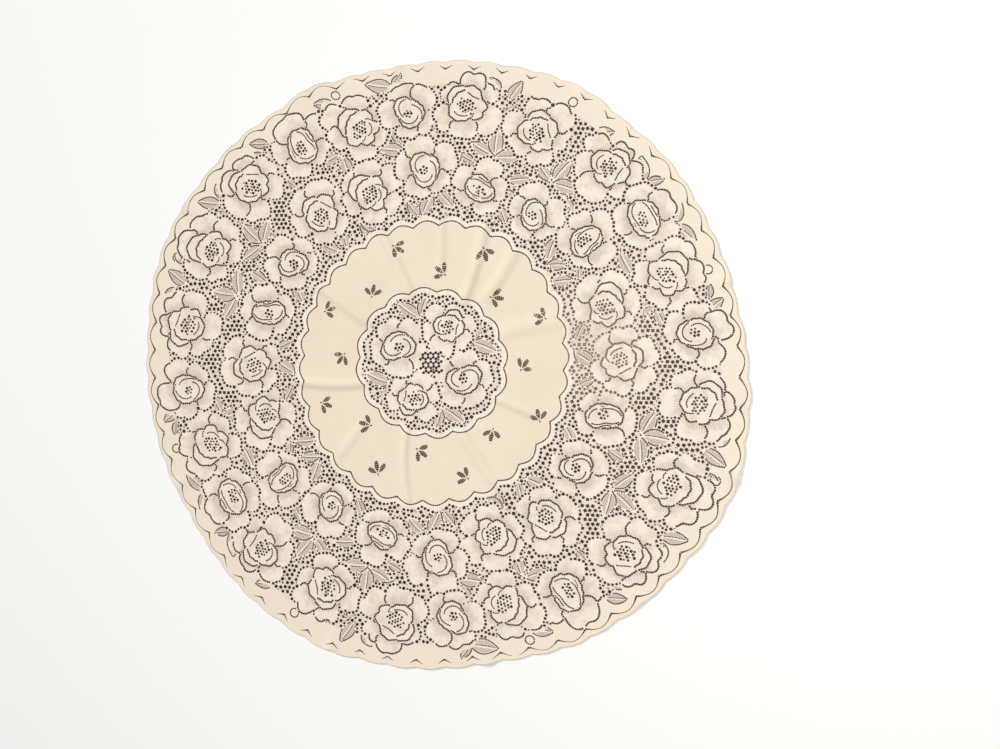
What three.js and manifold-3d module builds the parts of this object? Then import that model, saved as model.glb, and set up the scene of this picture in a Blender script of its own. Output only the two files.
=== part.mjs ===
// Round lace tablecloth, one piece of machine lace with a scalloped edge.
// Millimetres, +Z up, centre of the cloth above the origin, underside on z = 0.
// The cloth lies flat but for low creases in its plain band and small lifts along its edge.

import * as THREE from 'three';
import Module from 'manifold-3d';

// Driving sizes of the cloth
const EDGE_RADIUS = 457.2;
const THICKNESS = 1.2;
const EDGE_SCALLOPS = 64;
const EDGE_SCALLOP_DEPTH = 3;

// Lines of the pattern, measured from the middle of the cloth
const MEDALLION = { radius: 114, scallops: 16, depth: 7, phase: 6.75, rim: 7 };
const BAND = { radius: 208.5, scallops: 32, depth: 8, phase: 2.3, rim: 7 };
const NET_LIMIT = 420;

// Net of the ground: staggered rows of holes, of which the roomiest are cut through
const NET_PITCH = 7.2;
const NET_ROW = 6.4;
const NET_STRAY = 0.35;
const HOLE_SIDES = 4;
const HOLE_CORNER = 3.05;
const HOLE_COUNT = 288;
const RIBBON = 5.6;
// Middle of the medallion, which has small stitches of its own and no net
const MIDDLE_PATCH = { halfWide: 21, halfHigh: 17 };

// Grid of the sheet: rings along the creases with points across each, then rings of even points
const CREASE_RINGS = [92, 104, 117, 131, 146, 162, 178, 194, 210, 225, 238];
const ACROSS_A_CREASE = [-1, -0.5, 0, 0.5, 1];
const EVEN_RINGS = [
  { out: 420, columns: 64 },
  { out: 438, columns: 128 },
];
const COLUMNS_PER_SCALLOP = 4;

// How far the laid cloth strays outwards (mm) at each angle (degrees)
const UNEVEN = [
  { at: 0, out: 1.5 },
  { at: 12, out: -7 },
  { at: 25, out: -8.5 },
  { at: 40, out: -5.5 },
  { at: 50, out: -7 },
  { at: 60, out: 0 },
  { at: 80, out: -6.5 },
  { at: 97, out: -10.5 },
  { at: 107, out: -6 },
  { at: 115, out: 4.5 },
  { at: 121, out: 0 },
  { at: 135, out: 5.5 },
  { at: 155, out: 10.5 },
  { at: 180, out: -0.7 },
  { at: 195, out: -4.3 },
  { at: 211, out: -9 },
  { at: 235, out: -1 },
  { at: 250, out: 3 },
  { at: 258, out: -2.5 },
  { at: 282, out: -9.3 },
  { at: 303, out: 4 },
  { at: 317, out: 9 },
  { at: 338, out: 18.5 },
  { at: 352, out: 9 },
];

// How far the lace inside is pulled outwards at STRETCH_ANGLE, and inwards across it, at each radius
const STRETCH = [
  { out: 0, by: 0 },
  { out: 114, by: 3 },
  { out: 208, by: -4.5 },
  { out: 300, by: 0 },
  { out: 460, by: 0 },
];
const STRETCH_ANGLE = 158;

// Creases of the plain band, each a soft ridge from one place to another
const CREASES = [
  { at: 107.8, out: 117, toAt: 111.7, toOut: 206, half: 13, high: 4.2 },
  { at: 84.2, out: 145, toAt: 86, toOut: 212, half: 11, high: 2.2 },
  { at: 62.1, out: 117, toAt: 68.1, toOut: 212, half: 13, high: 4 },
  { at: 49, out: 138, toAt: 52, toOut: 199, half: 15, high: 3.4 },
  { at: 21.8, out: 120, toAt: 17.9, toOut: 190, half: 19, high: 2.4 },
  { at: 332.4, out: 117, toAt: 333.6, toOut: 165, half: 11, high: 3 },
  { at: 294.9, out: 119, toAt: 298.1, toOut: 193, half: 13, high: 3.6 },
  { at: 250.5, out: 117, toAt: 259.9, toOut: 198, half: 10, high: 3 },
  { at: 195.3, out: 117, toAt: 187.9, toOut: 207, half: 12, high: 3.5 },
  { at: 147.8, out: 117, toAt: 146.3, toOut: 210, half: 14, high: 4.2 },
  { at: 124, out: 153, toAt: 125.3, toOut: 192, half: 13, high: 2 },
  { at: 222, out: 150, toAt: 224, toOut: 186, half: 12, high: 1.6 },
];
const CREASE_FADE = 25;

// Small lifts of the edge, each a soft ridge that grows towards the hem
const PUCKERS = [
  { at: 15, half: 17, high: 2.5 },
  { at: 60, half: 15, high: 2.2 },
  { at: 97, half: 18, high: 3 },
  { at: 116, half: 14, high: 3 },
  { at: 148.5, half: 13, high: 4 },
  { at: 205, half: 18, high: 2.6 },
  { at: 250, half: 15, high: 2.4 },
  { at: 281, half: 18, high: 2.8 },
  { at: 312, half: 15, high: 2.2 },
  { at: 340, half: 18, high: 3.4 },
];
const PUCKER_START = 420;

// Roses of one half of the cloth; the other half has them again, turned by 180 degrees.
// Their petals reach farthest towards the direction given from outwards.
const OUTER_ROSES = [
  { at: 5.8, out: 390, size: 49, turn: 10, petals: 5, toward: 0 },
  { at: 19.6, out: 373, size: 55, turn: 40, petals: 6, toward: -20 },
  { at: 33.2, out: 379, size: 51, turn: 75, petals: 5, toward: 0 },
  { at: 46.6, out: 389, size: 53, turn: 5, petals: 6, toward: 150 },
  { at: 64.5, out: 372, size: 53, turn: 30, petals: 6, toward: 10 },
  { at: 82, out: 389, size: 54, turn: 60, petals: 6, toward: -130 },
  { at: 95.2, out: 381, size: 48, turn: 20, petals: 5, toward: 0 },
  { at: 107.5, out: 374, size: 55, turn: 50, petals: 6, toward: 20 },
  { at: 121.6, out: 386, size: 51, turn: 0, petals: 5, toward: 0 },
  { at: 136.2, out: 392, size: 53, turn: 35, petals: 6, toward: 150 },
  { at: 153.3, out: 385, size: 54, turn: 15, petals: 6, toward: -30 },
  { at: 171.3, out: 393, size: 54, turn: 70, petals: 6, toward: -150 },
];
const INNER_ROSES = [
  { at: 0.3, out: 281, size: 50, turn: 20, petals: 6, toward: 0 },
  { at: 17, out: 274, size: 51, turn: 55, petals: 6, toward: 90 },
  { at: 37.3, out: 290, size: 46, turn: 0, petals: 5, toward: 0 },
  { at: 54.3, out: 263, size: 44, turn: 30, petals: 5, toward: 0 },
  { at: 74, out: 265, size: 44, turn: 65, petals: 5, toward: 0 },
  { at: 91.9, out: 290, size: 50, turn: 10, petals: 5, toward: 0 },
  { at: 110.4, out: 273, size: 51, turn: 45, petals: 6, toward: -90 },
  { at: 127.2, out: 283, size: 51, turn: 25, petals: 6, toward: -20 },
  { at: 144.8, out: 265, size: 43, turn: 60, petals: 5, toward: 0 },
  { at: 163.1, out: 266, size: 43, turn: 5, petals: 5, toward: 0 },
];
const MEDALLION_ROSES = [
  { at: 62.8, out: 61, size: 43, turn: 10, petals: 6, toward: 180 },
  { at: 153.4, out: 55, size: 46, turn: 40, petals: 5, toward: 180 },
];
const LEAN = 0.1;
const RUFFLE = 0.018;

// Leaves of one half: where each one starts, its turn from outwards, and its length
const LEAF_ROWS = [
  { at: 4.3, out: 216, turn: -40, long: 41 },
  { at: 8.8, out: 221, turn: 56, long: 28 },
  { at: 10, out: 412, turn: 28, long: 33 },
  { at: 12.3, out: 420, turn: 76, long: 24 },
  { at: 13.3, out: 342, turn: -80, long: 36 },
  { at: 14.2, out: 345, turn: -175, long: 40 },
  { at: 22.5, out: 324, turn: 95, long: 43 },
  { at: 28.6, out: 414, turn: -70, long: 42 },
  { at: 28.8, out: 414, turn: 44, long: 32 },
  { at: 28.4, out: 250, turn: 56, long: 26 },
  { at: 33.1, out: 213, turn: -28, long: 36 },
  { at: 34.4, out: 250, turn: -44, long: 25 },
  { at: 39, out: 412, turn: -30, long: 28 },
  { at: 39.3, out: 406, turn: 52, long: 43 },
  { at: 39.3, out: 222, turn: -38, long: 33 },
  { at: 40.4, out: 225, turn: 27, long: 41 },
  { at: 45.4, out: 303, turn: 72, long: 30 },
  { at: 53.8, out: 414, turn: -51, long: 32 },
  { at: 55.1, out: 319, turn: -72, long: 43 },
  { at: 55.4, out: 321, turn: -8, long: 43 },
  { at: 55.9, out: 318, turn: 68, long: 36 },
  { at: 58.9, out: 252, turn: -26, long: 27 },
  { at: 61, out: 228, turn: 45, long: 31 },
  { at: 62.1, out: 269, turn: 69, long: 22 },
  { at: 66.7, out: 291, turn: -65, long: 36 },
  { at: 71, out: 401, turn: 139, long: 24 },
  { at: 72.5, out: 318, turn: -77, long: 43 },
  { at: 72.7, out: 320, turn: 9, long: 43 },
  { at: 72.8, out: 319, turn: 74, long: 42 },
  { at: 73.3, out: 403, turn: -21, long: 38 },
  { at: 75.3, out: 417, turn: 51, long: 28 },
  { at: 77.6, out: 304, turn: 70, long: 28 },
  { at: 87.6, out: 254, turn: -137, long: 38 },
  { at: 93.9, out: 218, turn: -30, long: 40 },
  { at: 94.9, out: 216, turn: 33, long: 31 },
  { at: 97.5, out: 323, turn: 78, long: 42 },
  { at: 98, out: 245, turn: -49, long: 28 },
  { at: 98.1, out: 334, turn: 22, long: 31 },
  { at: 98.3, out: 424, turn: 75, long: 45 },
  { at: 98.5, out: 424, turn: -43, long: 28 },
  { at: 111, out: 418, turn: 71, long: 35 },
  { at: 113, out: 216, turn: 40, long: 30 },
  { at: 113.8, out: 340, turn: 174, long: 38 },
  { at: 114.4, out: 343, turn: 87, long: 38 },
  { at: 118.3, out: 216, turn: -30, long: 34 },
  { at: 127.1, out: 218, turn: -24, long: 32 },
  { at: 127.4, out: 421, turn: 54, long: 31 },
  { at: 128.6, out: 342, turn: 6, long: 24 },
  { at: 129.7, out: 410, turn: 50, long: 24 },
  { at: 130.3, out: 221, turn: 26, long: 40 },
  { at: 142.9, out: 418, turn: -51, long: 28 },
  { at: 143.7, out: 409, turn: 30, long: 38 },
  { at: 144.4, out: 404, turn: 155, long: 24 },
  { at: 145.4, out: 321, turn: -70, long: 40 },
  { at: 145.7, out: 323, turn: -10, long: 43 },
  { at: 146.2, out: 319, turn: 70, long: 38 },
  { at: 153.6, out: 314, turn: 172, long: 32 },
  { at: 155, out: 254, turn: -61, long: 22 },
  { at: 155.7, out: 222, turn: -44, long: 36 },
  { at: 158.7, out: 417, turn: -32, long: 24 },
  { at: 161, out: 319, turn: -69, long: 43 },
  { at: 161.4, out: 321, turn: 9, long: 43 },
  { at: 161.6, out: 320, turn: 74, long: 42 },
  { at: 162.7, out: 403, turn: -22, long: 38 },
  { at: 163.9, out: 416, turn: 47, long: 30 },
  { at: 171.2, out: 223, turn: 33, long: 28 },
  { at: 26.6, out: 70, turn: -50, long: 43 },
  { at: 29.5, out: 69, turn: 23, long: 33 },
  { at: 103.7, out: 72, turn: -32, long: 33 },
  { at: 105.3, out: 68, turn: 41, long: 43 },
];
const LEAF_BREADTH = 0.54;

// Smallest upright height that the cutters reach above and below the sheet
const CUTTER_MARGIN = 2;

const radians = THREE.MathUtils.degToRad;
const HALVES = [0, Math.PI];
const UNEVEN_ROUND = [...UNEVEN, { at: 360, out: UNEVEN[0].out }];

function place(angle, radius) {
  return { x: radius * Math.cos(angle), y: radius * Math.sin(angle) };
}

function scalloped(line, angle) {
  const wave = Math.abs(Math.cos((line.scallops * (angle - radians(line.phase))) / 2));
  return line.radius - line.depth * (1 - wave);
}

// Passes smoothly from one row of a table to the next, and keeps the last row's value beyond it
function eased(table, where, value, at) {
  const next = table.findIndex((row) => row[where] > at);
  if (next < 0) {
    return table.at(-1)[value];
  }
  const before = table[next - 1];
  const share = (at - before[where]) / (table[next][where] - before[where]);
  return before[value] + ((table[next][value] - before[value]) * (1 - Math.cos(Math.PI * share))) / 2;
}

// Moves a place of the true round pattern to where it lies in the uneven cloth
function laid(x, y) {
  const radius = Math.hypot(x, y);
  const angle = Math.atan2(y, x);
  const degrees = THREE.MathUtils.euclideanModulo(THREE.MathUtils.radToDeg(angle), 360);
  const outwards = eased(UNEVEN_ROUND, 'at', 'out', degrees) * (radius / EDGE_RADIUS) ** 3;
  const pulled = eased(STRETCH, 'out', 'by', radius) * Math.cos(2 * (angle - radians(STRETCH_ANGLE)));
  return place(angle, radius + pulled + outwards);
}

// A crease's own angle at one radius; its line keeps the same lean all the way
function creaseAngle(crease, radius) {
  const share = (radius - crease.out) / (crease.toOut - crease.out);
  return radians(crease.at + (crease.toAt - crease.at) * share);
}

function softFall(distance, reach) {
  return distance < reach ? Math.cos((Math.PI * distance) / (2 * reach)) ** 2 : 0;
}

function acrossFrom(angle, middle, radius) {
  return Math.abs(THREE.MathUtils.euclideanModulo(angle - middle + Math.PI, 2 * Math.PI) - Math.PI) * radius;
}

// Height of the underside over the surface that the cloth lies on
function lift(radius, angle) {
  const creased = CREASES.map((row) => {
    const beyond = Math.max(row.out - radius, radius - row.toOut, 0);
    const across = acrossFrom(angle, creaseAngle(row, radius), radius);
    return row.high * softFall(across, row.half) * softFall(beyond, CREASE_FADE);
  });
  const outside = Math.max(radius - PUCKER_START, 0) / (EDGE_RADIUS - PUCKER_START);
  const puckered = PUCKERS.map(
    (row) => row.high * outside * softFall(acrossFrom(angle, radians(row.at), radius), row.half),
  );
  return Math.max(...creased, ...puckered);
}

// Farthest reach of a rose's petals in one direction, as a share of its size
function petalReach(rose, direction) {
  let reach = 0.55;
  for (let i = 0; i < rose.petals; i += 1) {
    const middle = rose.turn + (2 * Math.PI * i) / rose.petals + 0.1 * Math.sin(2.4 * i + rose.sway);
    const spread = (Math.PI / rose.petals) * 1.14 * (1 + 0.1 * Math.sin(1.7 * i + 2 * rose.sway));
    const aside = THREE.MathUtils.euclideanModulo(direction - middle + Math.PI, 2 * Math.PI) - Math.PI;
    const share = Math.abs(aside / spread);
    if (share < 1.2) {
      const long = 0.95 + 0.06 * Math.sin(3.1 * i + rose.sway);
      const notch = 0.05 * Math.exp(-((share / 0.16) ** 2));
      reach = Math.max(reach, long * (1 - 0.32 * share ** 4) - notch);
    }
  }
  const ruffled = RUFFLE * Math.sin(11 * direction + 3 * rose.sway);
  return reach * (1 + LEAN * Math.cos(direction - rose.toward)) + ruffled;
}

function roseDistance(rose, x, y) {
  const dx = x - rose.x;
  const dy = y - rose.y;
  return 0.9 * (Math.hypot(dx, dy) - rose.size * petalReach(rose, Math.atan2(dy, dx)));
}

function leafDistance(leaf, x, y) {
  const dx = x - leaf.x;
  const dy = y - leaf.y;
  const along = (dx * Math.cos(leaf.angle) + dy * Math.sin(leaf.angle)) / leaf.long;
  const across = Math.abs(dy * Math.cos(leaf.angle) - dx * Math.sin(leaf.angle));
  const share = THREE.MathUtils.clamp(along, 0, 1);
  const half = 0.5 * LEAF_BREADTH * leaf.long * Math.sin(Math.PI * share ** 0.85) ** 0.9;
  const beyond = Math.max(-along, along - 1, 0) * leaf.long;
  return 0.9 * (across - half) + beyond;
}

function allRoses() {
  const rows = [...OUTER_ROSES, ...INNER_ROSES, ...MEDALLION_ROSES];
  return HALVES.flatMap((half) =>
    rows.map((row) => ({
      ...place(radians(row.at) + half, row.out),
      size: row.size,
      petals: row.petals,
      turn: radians(row.turn + row.at) + half,
      toward: radians(row.toward + row.at) + half,
      sway: 0.37 * row.at,
    })),
  );
}

function allLeaves() {
  return HALVES.flatMap((half) =>
    LEAF_ROWS.map((row) => ({
      ...place(radians(row.at) + half, row.out),
      angle: radians(row.at + row.turn) + half,
      long: row.long,
    })),
  );
}

// Room around a place of the ground: how far the nearest petal, leaf or solid rim is
function netRoom(x, y, roses, leaves) {
  const radius = Math.hypot(x, y);
  const angle = Math.atan2(y, x);
  const offPatch = Math.max(Math.abs(x) - MIDDLE_PATCH.halfWide, Math.abs(y) - MIDDLE_PATCH.halfHigh);
  const insideMedallion = Math.min(scalloped(MEDALLION, angle) - MEDALLION.rim - radius, offPatch);
  const insideRing = Math.min(radius - scalloped(BAND, angle) - BAND.rim, NET_LIMIT - radius);
  let room = Math.max(insideMedallion, insideRing);
  let fromRoses = Infinity;
  for (const rose of roses) {
    const distance = roseDistance(rose, x, y);
    room = Math.min(room, Math.max(distance, RIBBON - fromRoses));
    fromRoses = Math.min(fromRoses, distance);
  }
  for (const leaf of leaves) {
    room = Math.min(room, Math.max(leafDistance(leaf, x, y), RIBBON - fromRoses));
  }
  return room;
}

// The roomiest places of the net, a little uneven, each with its twin across the middle
function netHoles() {
  const roses = allRoses();
  const leaves = allLeaves();
  const places = [];
  const rows = Math.ceil(NET_LIMIT / NET_ROW);
  const columns = Math.ceil(NET_LIMIT / NET_PITCH);
  for (let row = 0; row <= rows; row += 1) {
    for (let column = -columns; column <= columns; column += 1) {
      const evenX = (column + (row % 2 ? 0.5 : 0)) * NET_PITCH;
      const evenY = row * NET_ROW;
      const x = evenX + NET_STRAY * Math.sin(0.31 * evenX + 0.47 * evenY);
      const y = evenY + NET_STRAY * Math.sin(0.53 * evenX - 0.23 * evenY);
      if ((evenY > 0 || evenX > 0) && Math.hypot(x, y) < NET_LIMIT) {
        places.push({ x, y, room: netRoom(x, y, roses, leaves) });
      }
    }
  }
  places.sort((a, b) => b.room - a.room || a.x - b.x);
  return places.slice(0, HOLE_COUNT / 2).flatMap(({ x, y }) => [
    { x, y },
    { x: -x, y: -y },
  ]);
}

function holeTurn(hole) {
  return Math.PI / 4 + 0.3 * Math.cos(0.43 * hole.x + 0.61 * hole.y);
}

function evenAngles(count) {
  return Array.from({ length: count }, (_, i) => (2 * Math.PI * i) / count);
}

// Polar places of every ring, from the middle to the scalloped hem
function sheetRings() {
  const hem = { radius: EDGE_RADIUS, scallops: EDGE_SCALLOPS, depth: EDGE_SCALLOP_DEPTH, phase: 0 };
  const creased = CREASE_RINGS.map((radius) =>
    CREASES.flatMap((row) => {
      const middle = creaseAngle(row, radius);
      return ACROSS_A_CREASE.map((share) => middle + (share * row.half) / radius);
    })
      .map((angle) => THREE.MathUtils.euclideanModulo(angle, 2 * Math.PI))
      .sort((a, b) => a - b)
      .map((angle) => ({ angle, radius })),
  );
  const even = EVEN_RINGS.map((row) => evenAngles(row.columns).map((angle) => ({ angle, radius: row.out })));
  const edge = evenAngles(EDGE_SCALLOPS * COLUMNS_PER_SCALLOP).map((angle) => ({
    angle,
    radius: scalloped(hem, angle),
  }));
  return [...creased, ...even, edge];
}

// Triangles between two rings of equal count, point to point
function matchRings(ring, innerFirst, outerFirst) {
  return ring.flatMap((_, i) => {
    const next = (i + 1) % ring.length;
    return [
      [innerFirst + i, outerFirst + i, outerFirst + next],
      [innerFirst + i, outerFirst + next, innerFirst + next],
    ];
  });
}

// Triangles between two rings of other counts, stepping along whichever ring is behind
function zipRings(inner, outer, innerFirst, outerFirst) {
  const faces = [];
  const turnOf = (ring, i) => ring[i % ring.length].angle + (i >= ring.length ? 2 * Math.PI : 0);
  let i = 0;
  let o = 0;
  while (i < inner.length || o < outer.length) {
    const a = innerFirst + (i % inner.length);
    const b = outerFirst + (o % outer.length);
    const outerIsBehind = turnOf(outer, o + 1) <= turnOf(inner, i + 1);
    if (i >= inner.length || (outerIsBehind && o < outer.length)) {
      o += 1;
      faces.push([a, b, outerFirst + (o % outer.length)]);
    } else {
      i += 1;
      faces.push([a, b, innerFirst + (i % inner.length)]);
    }
  }
  return faces;
}

// One closed mesh of the whole sheet: the same faces on top and underneath, joined at the hem
function sheetMesh() {
  const rings = sheetRings();
  const spots = [{ angle: 0, radius: 0 }, ...rings.flat()];
  const firsts = [];
  let count = 1;
  for (const ring of rings) {
    firsts.push(count);
    count += ring.length;
  }
  const inmost = rings[0].map((_, i) => [0, 1 + i, 1 + ((i + 1) % rings[0].length)]);
  const between = rings.slice(1).flatMap((ring, i) =>
    ring.length === rings[i].length
      ? matchRings(ring, firsts[i], firsts[i + 1])
      : zipRings(rings[i], ring, firsts[i], firsts[i + 1]),
  );
  const top = [...inmost, ...between];
  const points = [0, THICKNESS].flatMap((above) =>
    spots.flatMap(({ angle, radius }) => {
      const flat = place(angle, radius);
      const spot = laid(flat.x, flat.y);
      return [spot.x, spot.y, lift(radius, angle) + above];
    }),
  );
  const edge = rings.at(-1).length;
  const edgeFirst = firsts.at(-1);
  const walls = rings.at(-1).flatMap((_, i) => {
    const low = edgeFirst + i;
    const lowNext = edgeFirst + ((i + 1) % edge);
    return [low, lowNext, lowNext + count, low, lowNext + count, low + count];
  });
  const triangles = [
    ...top.flatMap(([a, b, c]) => [a, c, b]),
    ...top.flatMap(([a, b, c]) => [a + count, b + count, c + count]),
    ...walls,
  ];
  return { points, triangles };
}

// One upright prism at each hole of the net
function cutterMesh(holes) {
  const points = [];
  const triangles = [];
  const tallest = Math.max(...CREASES.map((row) => row.high), ...PUCKERS.map((row) => row.high));
  for (const hole of holes) {
    const first = points.length / 3;
    for (const z of [-CUTTER_MARGIN, tallest + THICKNESS + CUTTER_MARGIN]) {
      for (let side = 0; side < HOLE_SIDES; side += 1) {
        const corner = place(holeTurn(hole) + (2 * Math.PI * side) / HOLE_SIDES, HOLE_CORNER);
        const spot = laid(hole.x + corner.x, hole.y + corner.y);
        points.push(spot.x, spot.y, z);
      }
    }
    for (let side = 0; side < HOLE_SIDES; side += 1) {
      const next = (side + 1) % HOLE_SIDES;
      const low = first + side;
      const lowNext = first + next;
      triangles.push(low, lowNext, lowNext + HOLE_SIDES, low, lowNext + HOLE_SIDES, low + HOLE_SIDES);
    }
    for (let side = 1; side < HOLE_SIDES - 1; side += 1) {
      triangles.push(first, first + side + 1, first + side);
      triangles.push(first + HOLE_SIDES, first + HOLE_SIDES + side, first + HOLE_SIDES + side + 1);
    }
  }
  return { points, triangles };
}

function cutSheet(library, sheet, cutters) {
  const solid = (mesh) =>
    new library.Manifold(
      new library.Mesh({
        numProp: 3,
        vertProperties: new Float32Array(mesh.points),
        triVerts: new Uint32Array(mesh.triangles),
      }),
    );
  return solid(sheet).subtract(solid(cutters)).getMesh();
}

// The middle of the laid cloth's outline comes over the origin
function clothGeometry(mesh) {
  const geometry = new THREE.BufferGeometry();
  geometry.setAttribute('position', new THREE.BufferAttribute(mesh.vertProperties, mesh.numProp));
  geometry.setIndex(new THREE.BufferAttribute(mesh.triVerts, 1));
  geometry.computeBoundingBox();
  const middle = geometry.boundingBox.getCenter(new THREE.Vector3());
  geometry.translate(-middle.x, -middle.y, 0);
  geometry.computeVertexNormals();
  return geometry;
}

const library = await Module();
library.setup();

const cloth = new THREE.Mesh(
  clothGeometry(cutSheet(library, sheetMesh(), cutterMesh(netHoles()))),
  new THREE.MeshStandardMaterial({ color: 0xeedec4, roughness: 0.92, metalness: 0 }),
);
cloth.name = 'lace_cloth';

const tablecloth = new THREE.Group();
tablecloth.add(cloth);

export default tablecloth;
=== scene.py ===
"""Round lace tablecloth: a thin openwork sheet on the folds of its solid, with a camera, light and floor."""

import math

import bpy
import numpy as np
from mathutils import Matrix, Vector
from mathutils.geometry import delaunay_2d_cdt


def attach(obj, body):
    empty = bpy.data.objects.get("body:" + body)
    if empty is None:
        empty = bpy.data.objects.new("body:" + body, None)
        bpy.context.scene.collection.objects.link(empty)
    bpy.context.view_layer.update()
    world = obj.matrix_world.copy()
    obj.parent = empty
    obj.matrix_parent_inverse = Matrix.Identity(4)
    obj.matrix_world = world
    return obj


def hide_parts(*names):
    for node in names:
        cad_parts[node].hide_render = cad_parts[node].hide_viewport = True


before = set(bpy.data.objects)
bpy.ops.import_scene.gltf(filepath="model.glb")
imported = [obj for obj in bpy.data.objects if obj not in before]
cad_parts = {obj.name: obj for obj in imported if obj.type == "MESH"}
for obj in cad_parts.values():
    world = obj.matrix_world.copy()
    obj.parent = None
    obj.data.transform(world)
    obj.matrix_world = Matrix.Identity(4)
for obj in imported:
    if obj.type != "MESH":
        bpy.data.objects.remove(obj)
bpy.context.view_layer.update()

# Sizes are in millimetres, as in the part's source, and MM turns them into metres
MM = 0.001

# Driving sizes of the cloth
EDGE_RADIUS = 457.2
THICKNESS = 0.8
EDGE_SCALLOPS = 64
EDGE_SCALLOP_DEPTH = 3.0

# Lines of the pattern: radius at the crests, number of scallops, depth, turn, and solid rim beyond
MEDALLION = {"radius": 114.0, "scallops": 16, "depth": 7.0, "phase": 6.75, "rim": 7.0}
BAND = {"radius": 208.5, "scallops": 32, "depth": 8.0, "phase": 2.3, "rim": 7.0}
BORDER = {"radius": 452.0, "scallops": 64, "depth": 9.0, "phase": 0.0, "rim": 0.0}
HEM = dict(BORDER, radius=EDGE_RADIUS, scallops=EDGE_SCALLOPS, depth=EDGE_SCALLOP_DEPTH)

# Net of the ground, as in the solid: how far out it goes, its lattice, and the roomiest of its holes
NET_LIMIT = 420.0
NET_PITCH = 7.2
NET_ROW = 6.4
NET_STRAY = 0.35
ROOMY_CORNER = 3.35
ROOMY_COUNT = 288

# Solid ribbon kept between two roses, and the narrow one between two leaves
RIBBON = 5.6
LEAF_RIBBON = 0.6

# How far the laid cloth strays outwards at each angle (degrees)
UNEVEN = [
    {"at": 0, "out": 1.5},
    {"at": 12, "out": -7},
    {"at": 25, "out": -8.5},
    {"at": 40, "out": -5.5},
    {"at": 50, "out": -7},
    {"at": 60, "out": 0},
    {"at": 80, "out": -6.5},
    {"at": 97, "out": -10.5},
    {"at": 107, "out": -6},
    {"at": 115, "out": 4.5},
    {"at": 121, "out": 0},
    {"at": 135, "out": 5.5},
    {"at": 155, "out": 10.5},
    {"at": 180, "out": -0.7},
    {"at": 195, "out": -4.3},
    {"at": 211, "out": -9},
    {"at": 235, "out": -1},
    {"at": 250, "out": 3},
    {"at": 258, "out": -2.5},
    {"at": 282, "out": -9.3},
    {"at": 303, "out": 4},
    {"at": 317, "out": 9},
    {"at": 338, "out": 18.5},
    {"at": 352, "out": 9},
    {"at": 360, "out": 1.5},
]

# How far the lace inside is pulled outwards at STRETCH_ANGLE, and inwards across it, at each radius
STRETCH = [
    {"out": 0, "by": 0},
    {"out": 114, "by": 3},
    {"out": 208, "by": -4.5},
    {"out": 300, "by": 0},
    {"out": 460, "by": 0},
]
STRETCH_ANGLE = 158.0

# Creases of the plain band, each a soft ridge from one place to another that fades out past its ends
CREASES = [
    {"at": 107.8, "out": 117, "to_at": 111.7, "to_out": 206, "half": 13, "high": 4.2},
    {"at": 84.2, "out": 145, "to_at": 86, "to_out": 212, "half": 11, "high": 2.2},
    {"at": 62.1, "out": 117, "to_at": 68.1, "to_out": 212, "half": 13, "high": 4},
    {"at": 49, "out": 138, "to_at": 52, "to_out": 199, "half": 15, "high": 3.4},
    {"at": 21.8, "out": 120, "to_at": 17.9, "to_out": 190, "half": 19, "high": 2.4},
    {"at": 332.4, "out": 117, "to_at": 333.6, "to_out": 165, "half": 11, "high": 3},
    {"at": 294.9, "out": 119, "to_at": 298.1, "to_out": 193, "half": 13, "high": 3.6},
    {"at": 250.5, "out": 117, "to_at": 259.9, "to_out": 198, "half": 10, "high": 3},
    {"at": 195.3, "out": 117, "to_at": 187.9, "to_out": 207, "half": 12, "high": 3.5},
    {"at": 147.8, "out": 117, "to_at": 146.3, "to_out": 210, "half": 14, "high": 4.2},
    {"at": 124, "out": 153, "to_at": 125.3, "to_out": 192, "half": 13, "high": 2},
    {"at": 222, "out": 150, "to_at": 224, "to_out": 186, "half": 12, "high": 1.6},
]
CREASE_FADE = 25.0

# Small lifts of the edge, each a soft ridge that grows from PUCKER_START to the hem
PUCKERS = [
    {"at": 15, "half": 17, "high": 2.5},
    {"at": 60, "half": 15, "high": 2.2},
    {"at": 97, "half": 18, "high": 3},
    {"at": 116, "half": 14, "high": 3},
    {"at": 148.5, "half": 13, "high": 4},
    {"at": 205, "half": 18, "high": 2.6},
    {"at": 250, "half": 15, "high": 2.4},
    {"at": 281, "half": 18, "high": 2.8},
    {"at": 312, "half": 15, "high": 2.2},
    {"at": 340, "half": 18, "high": 3.4},
]
PUCKER_START = 420.0

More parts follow.
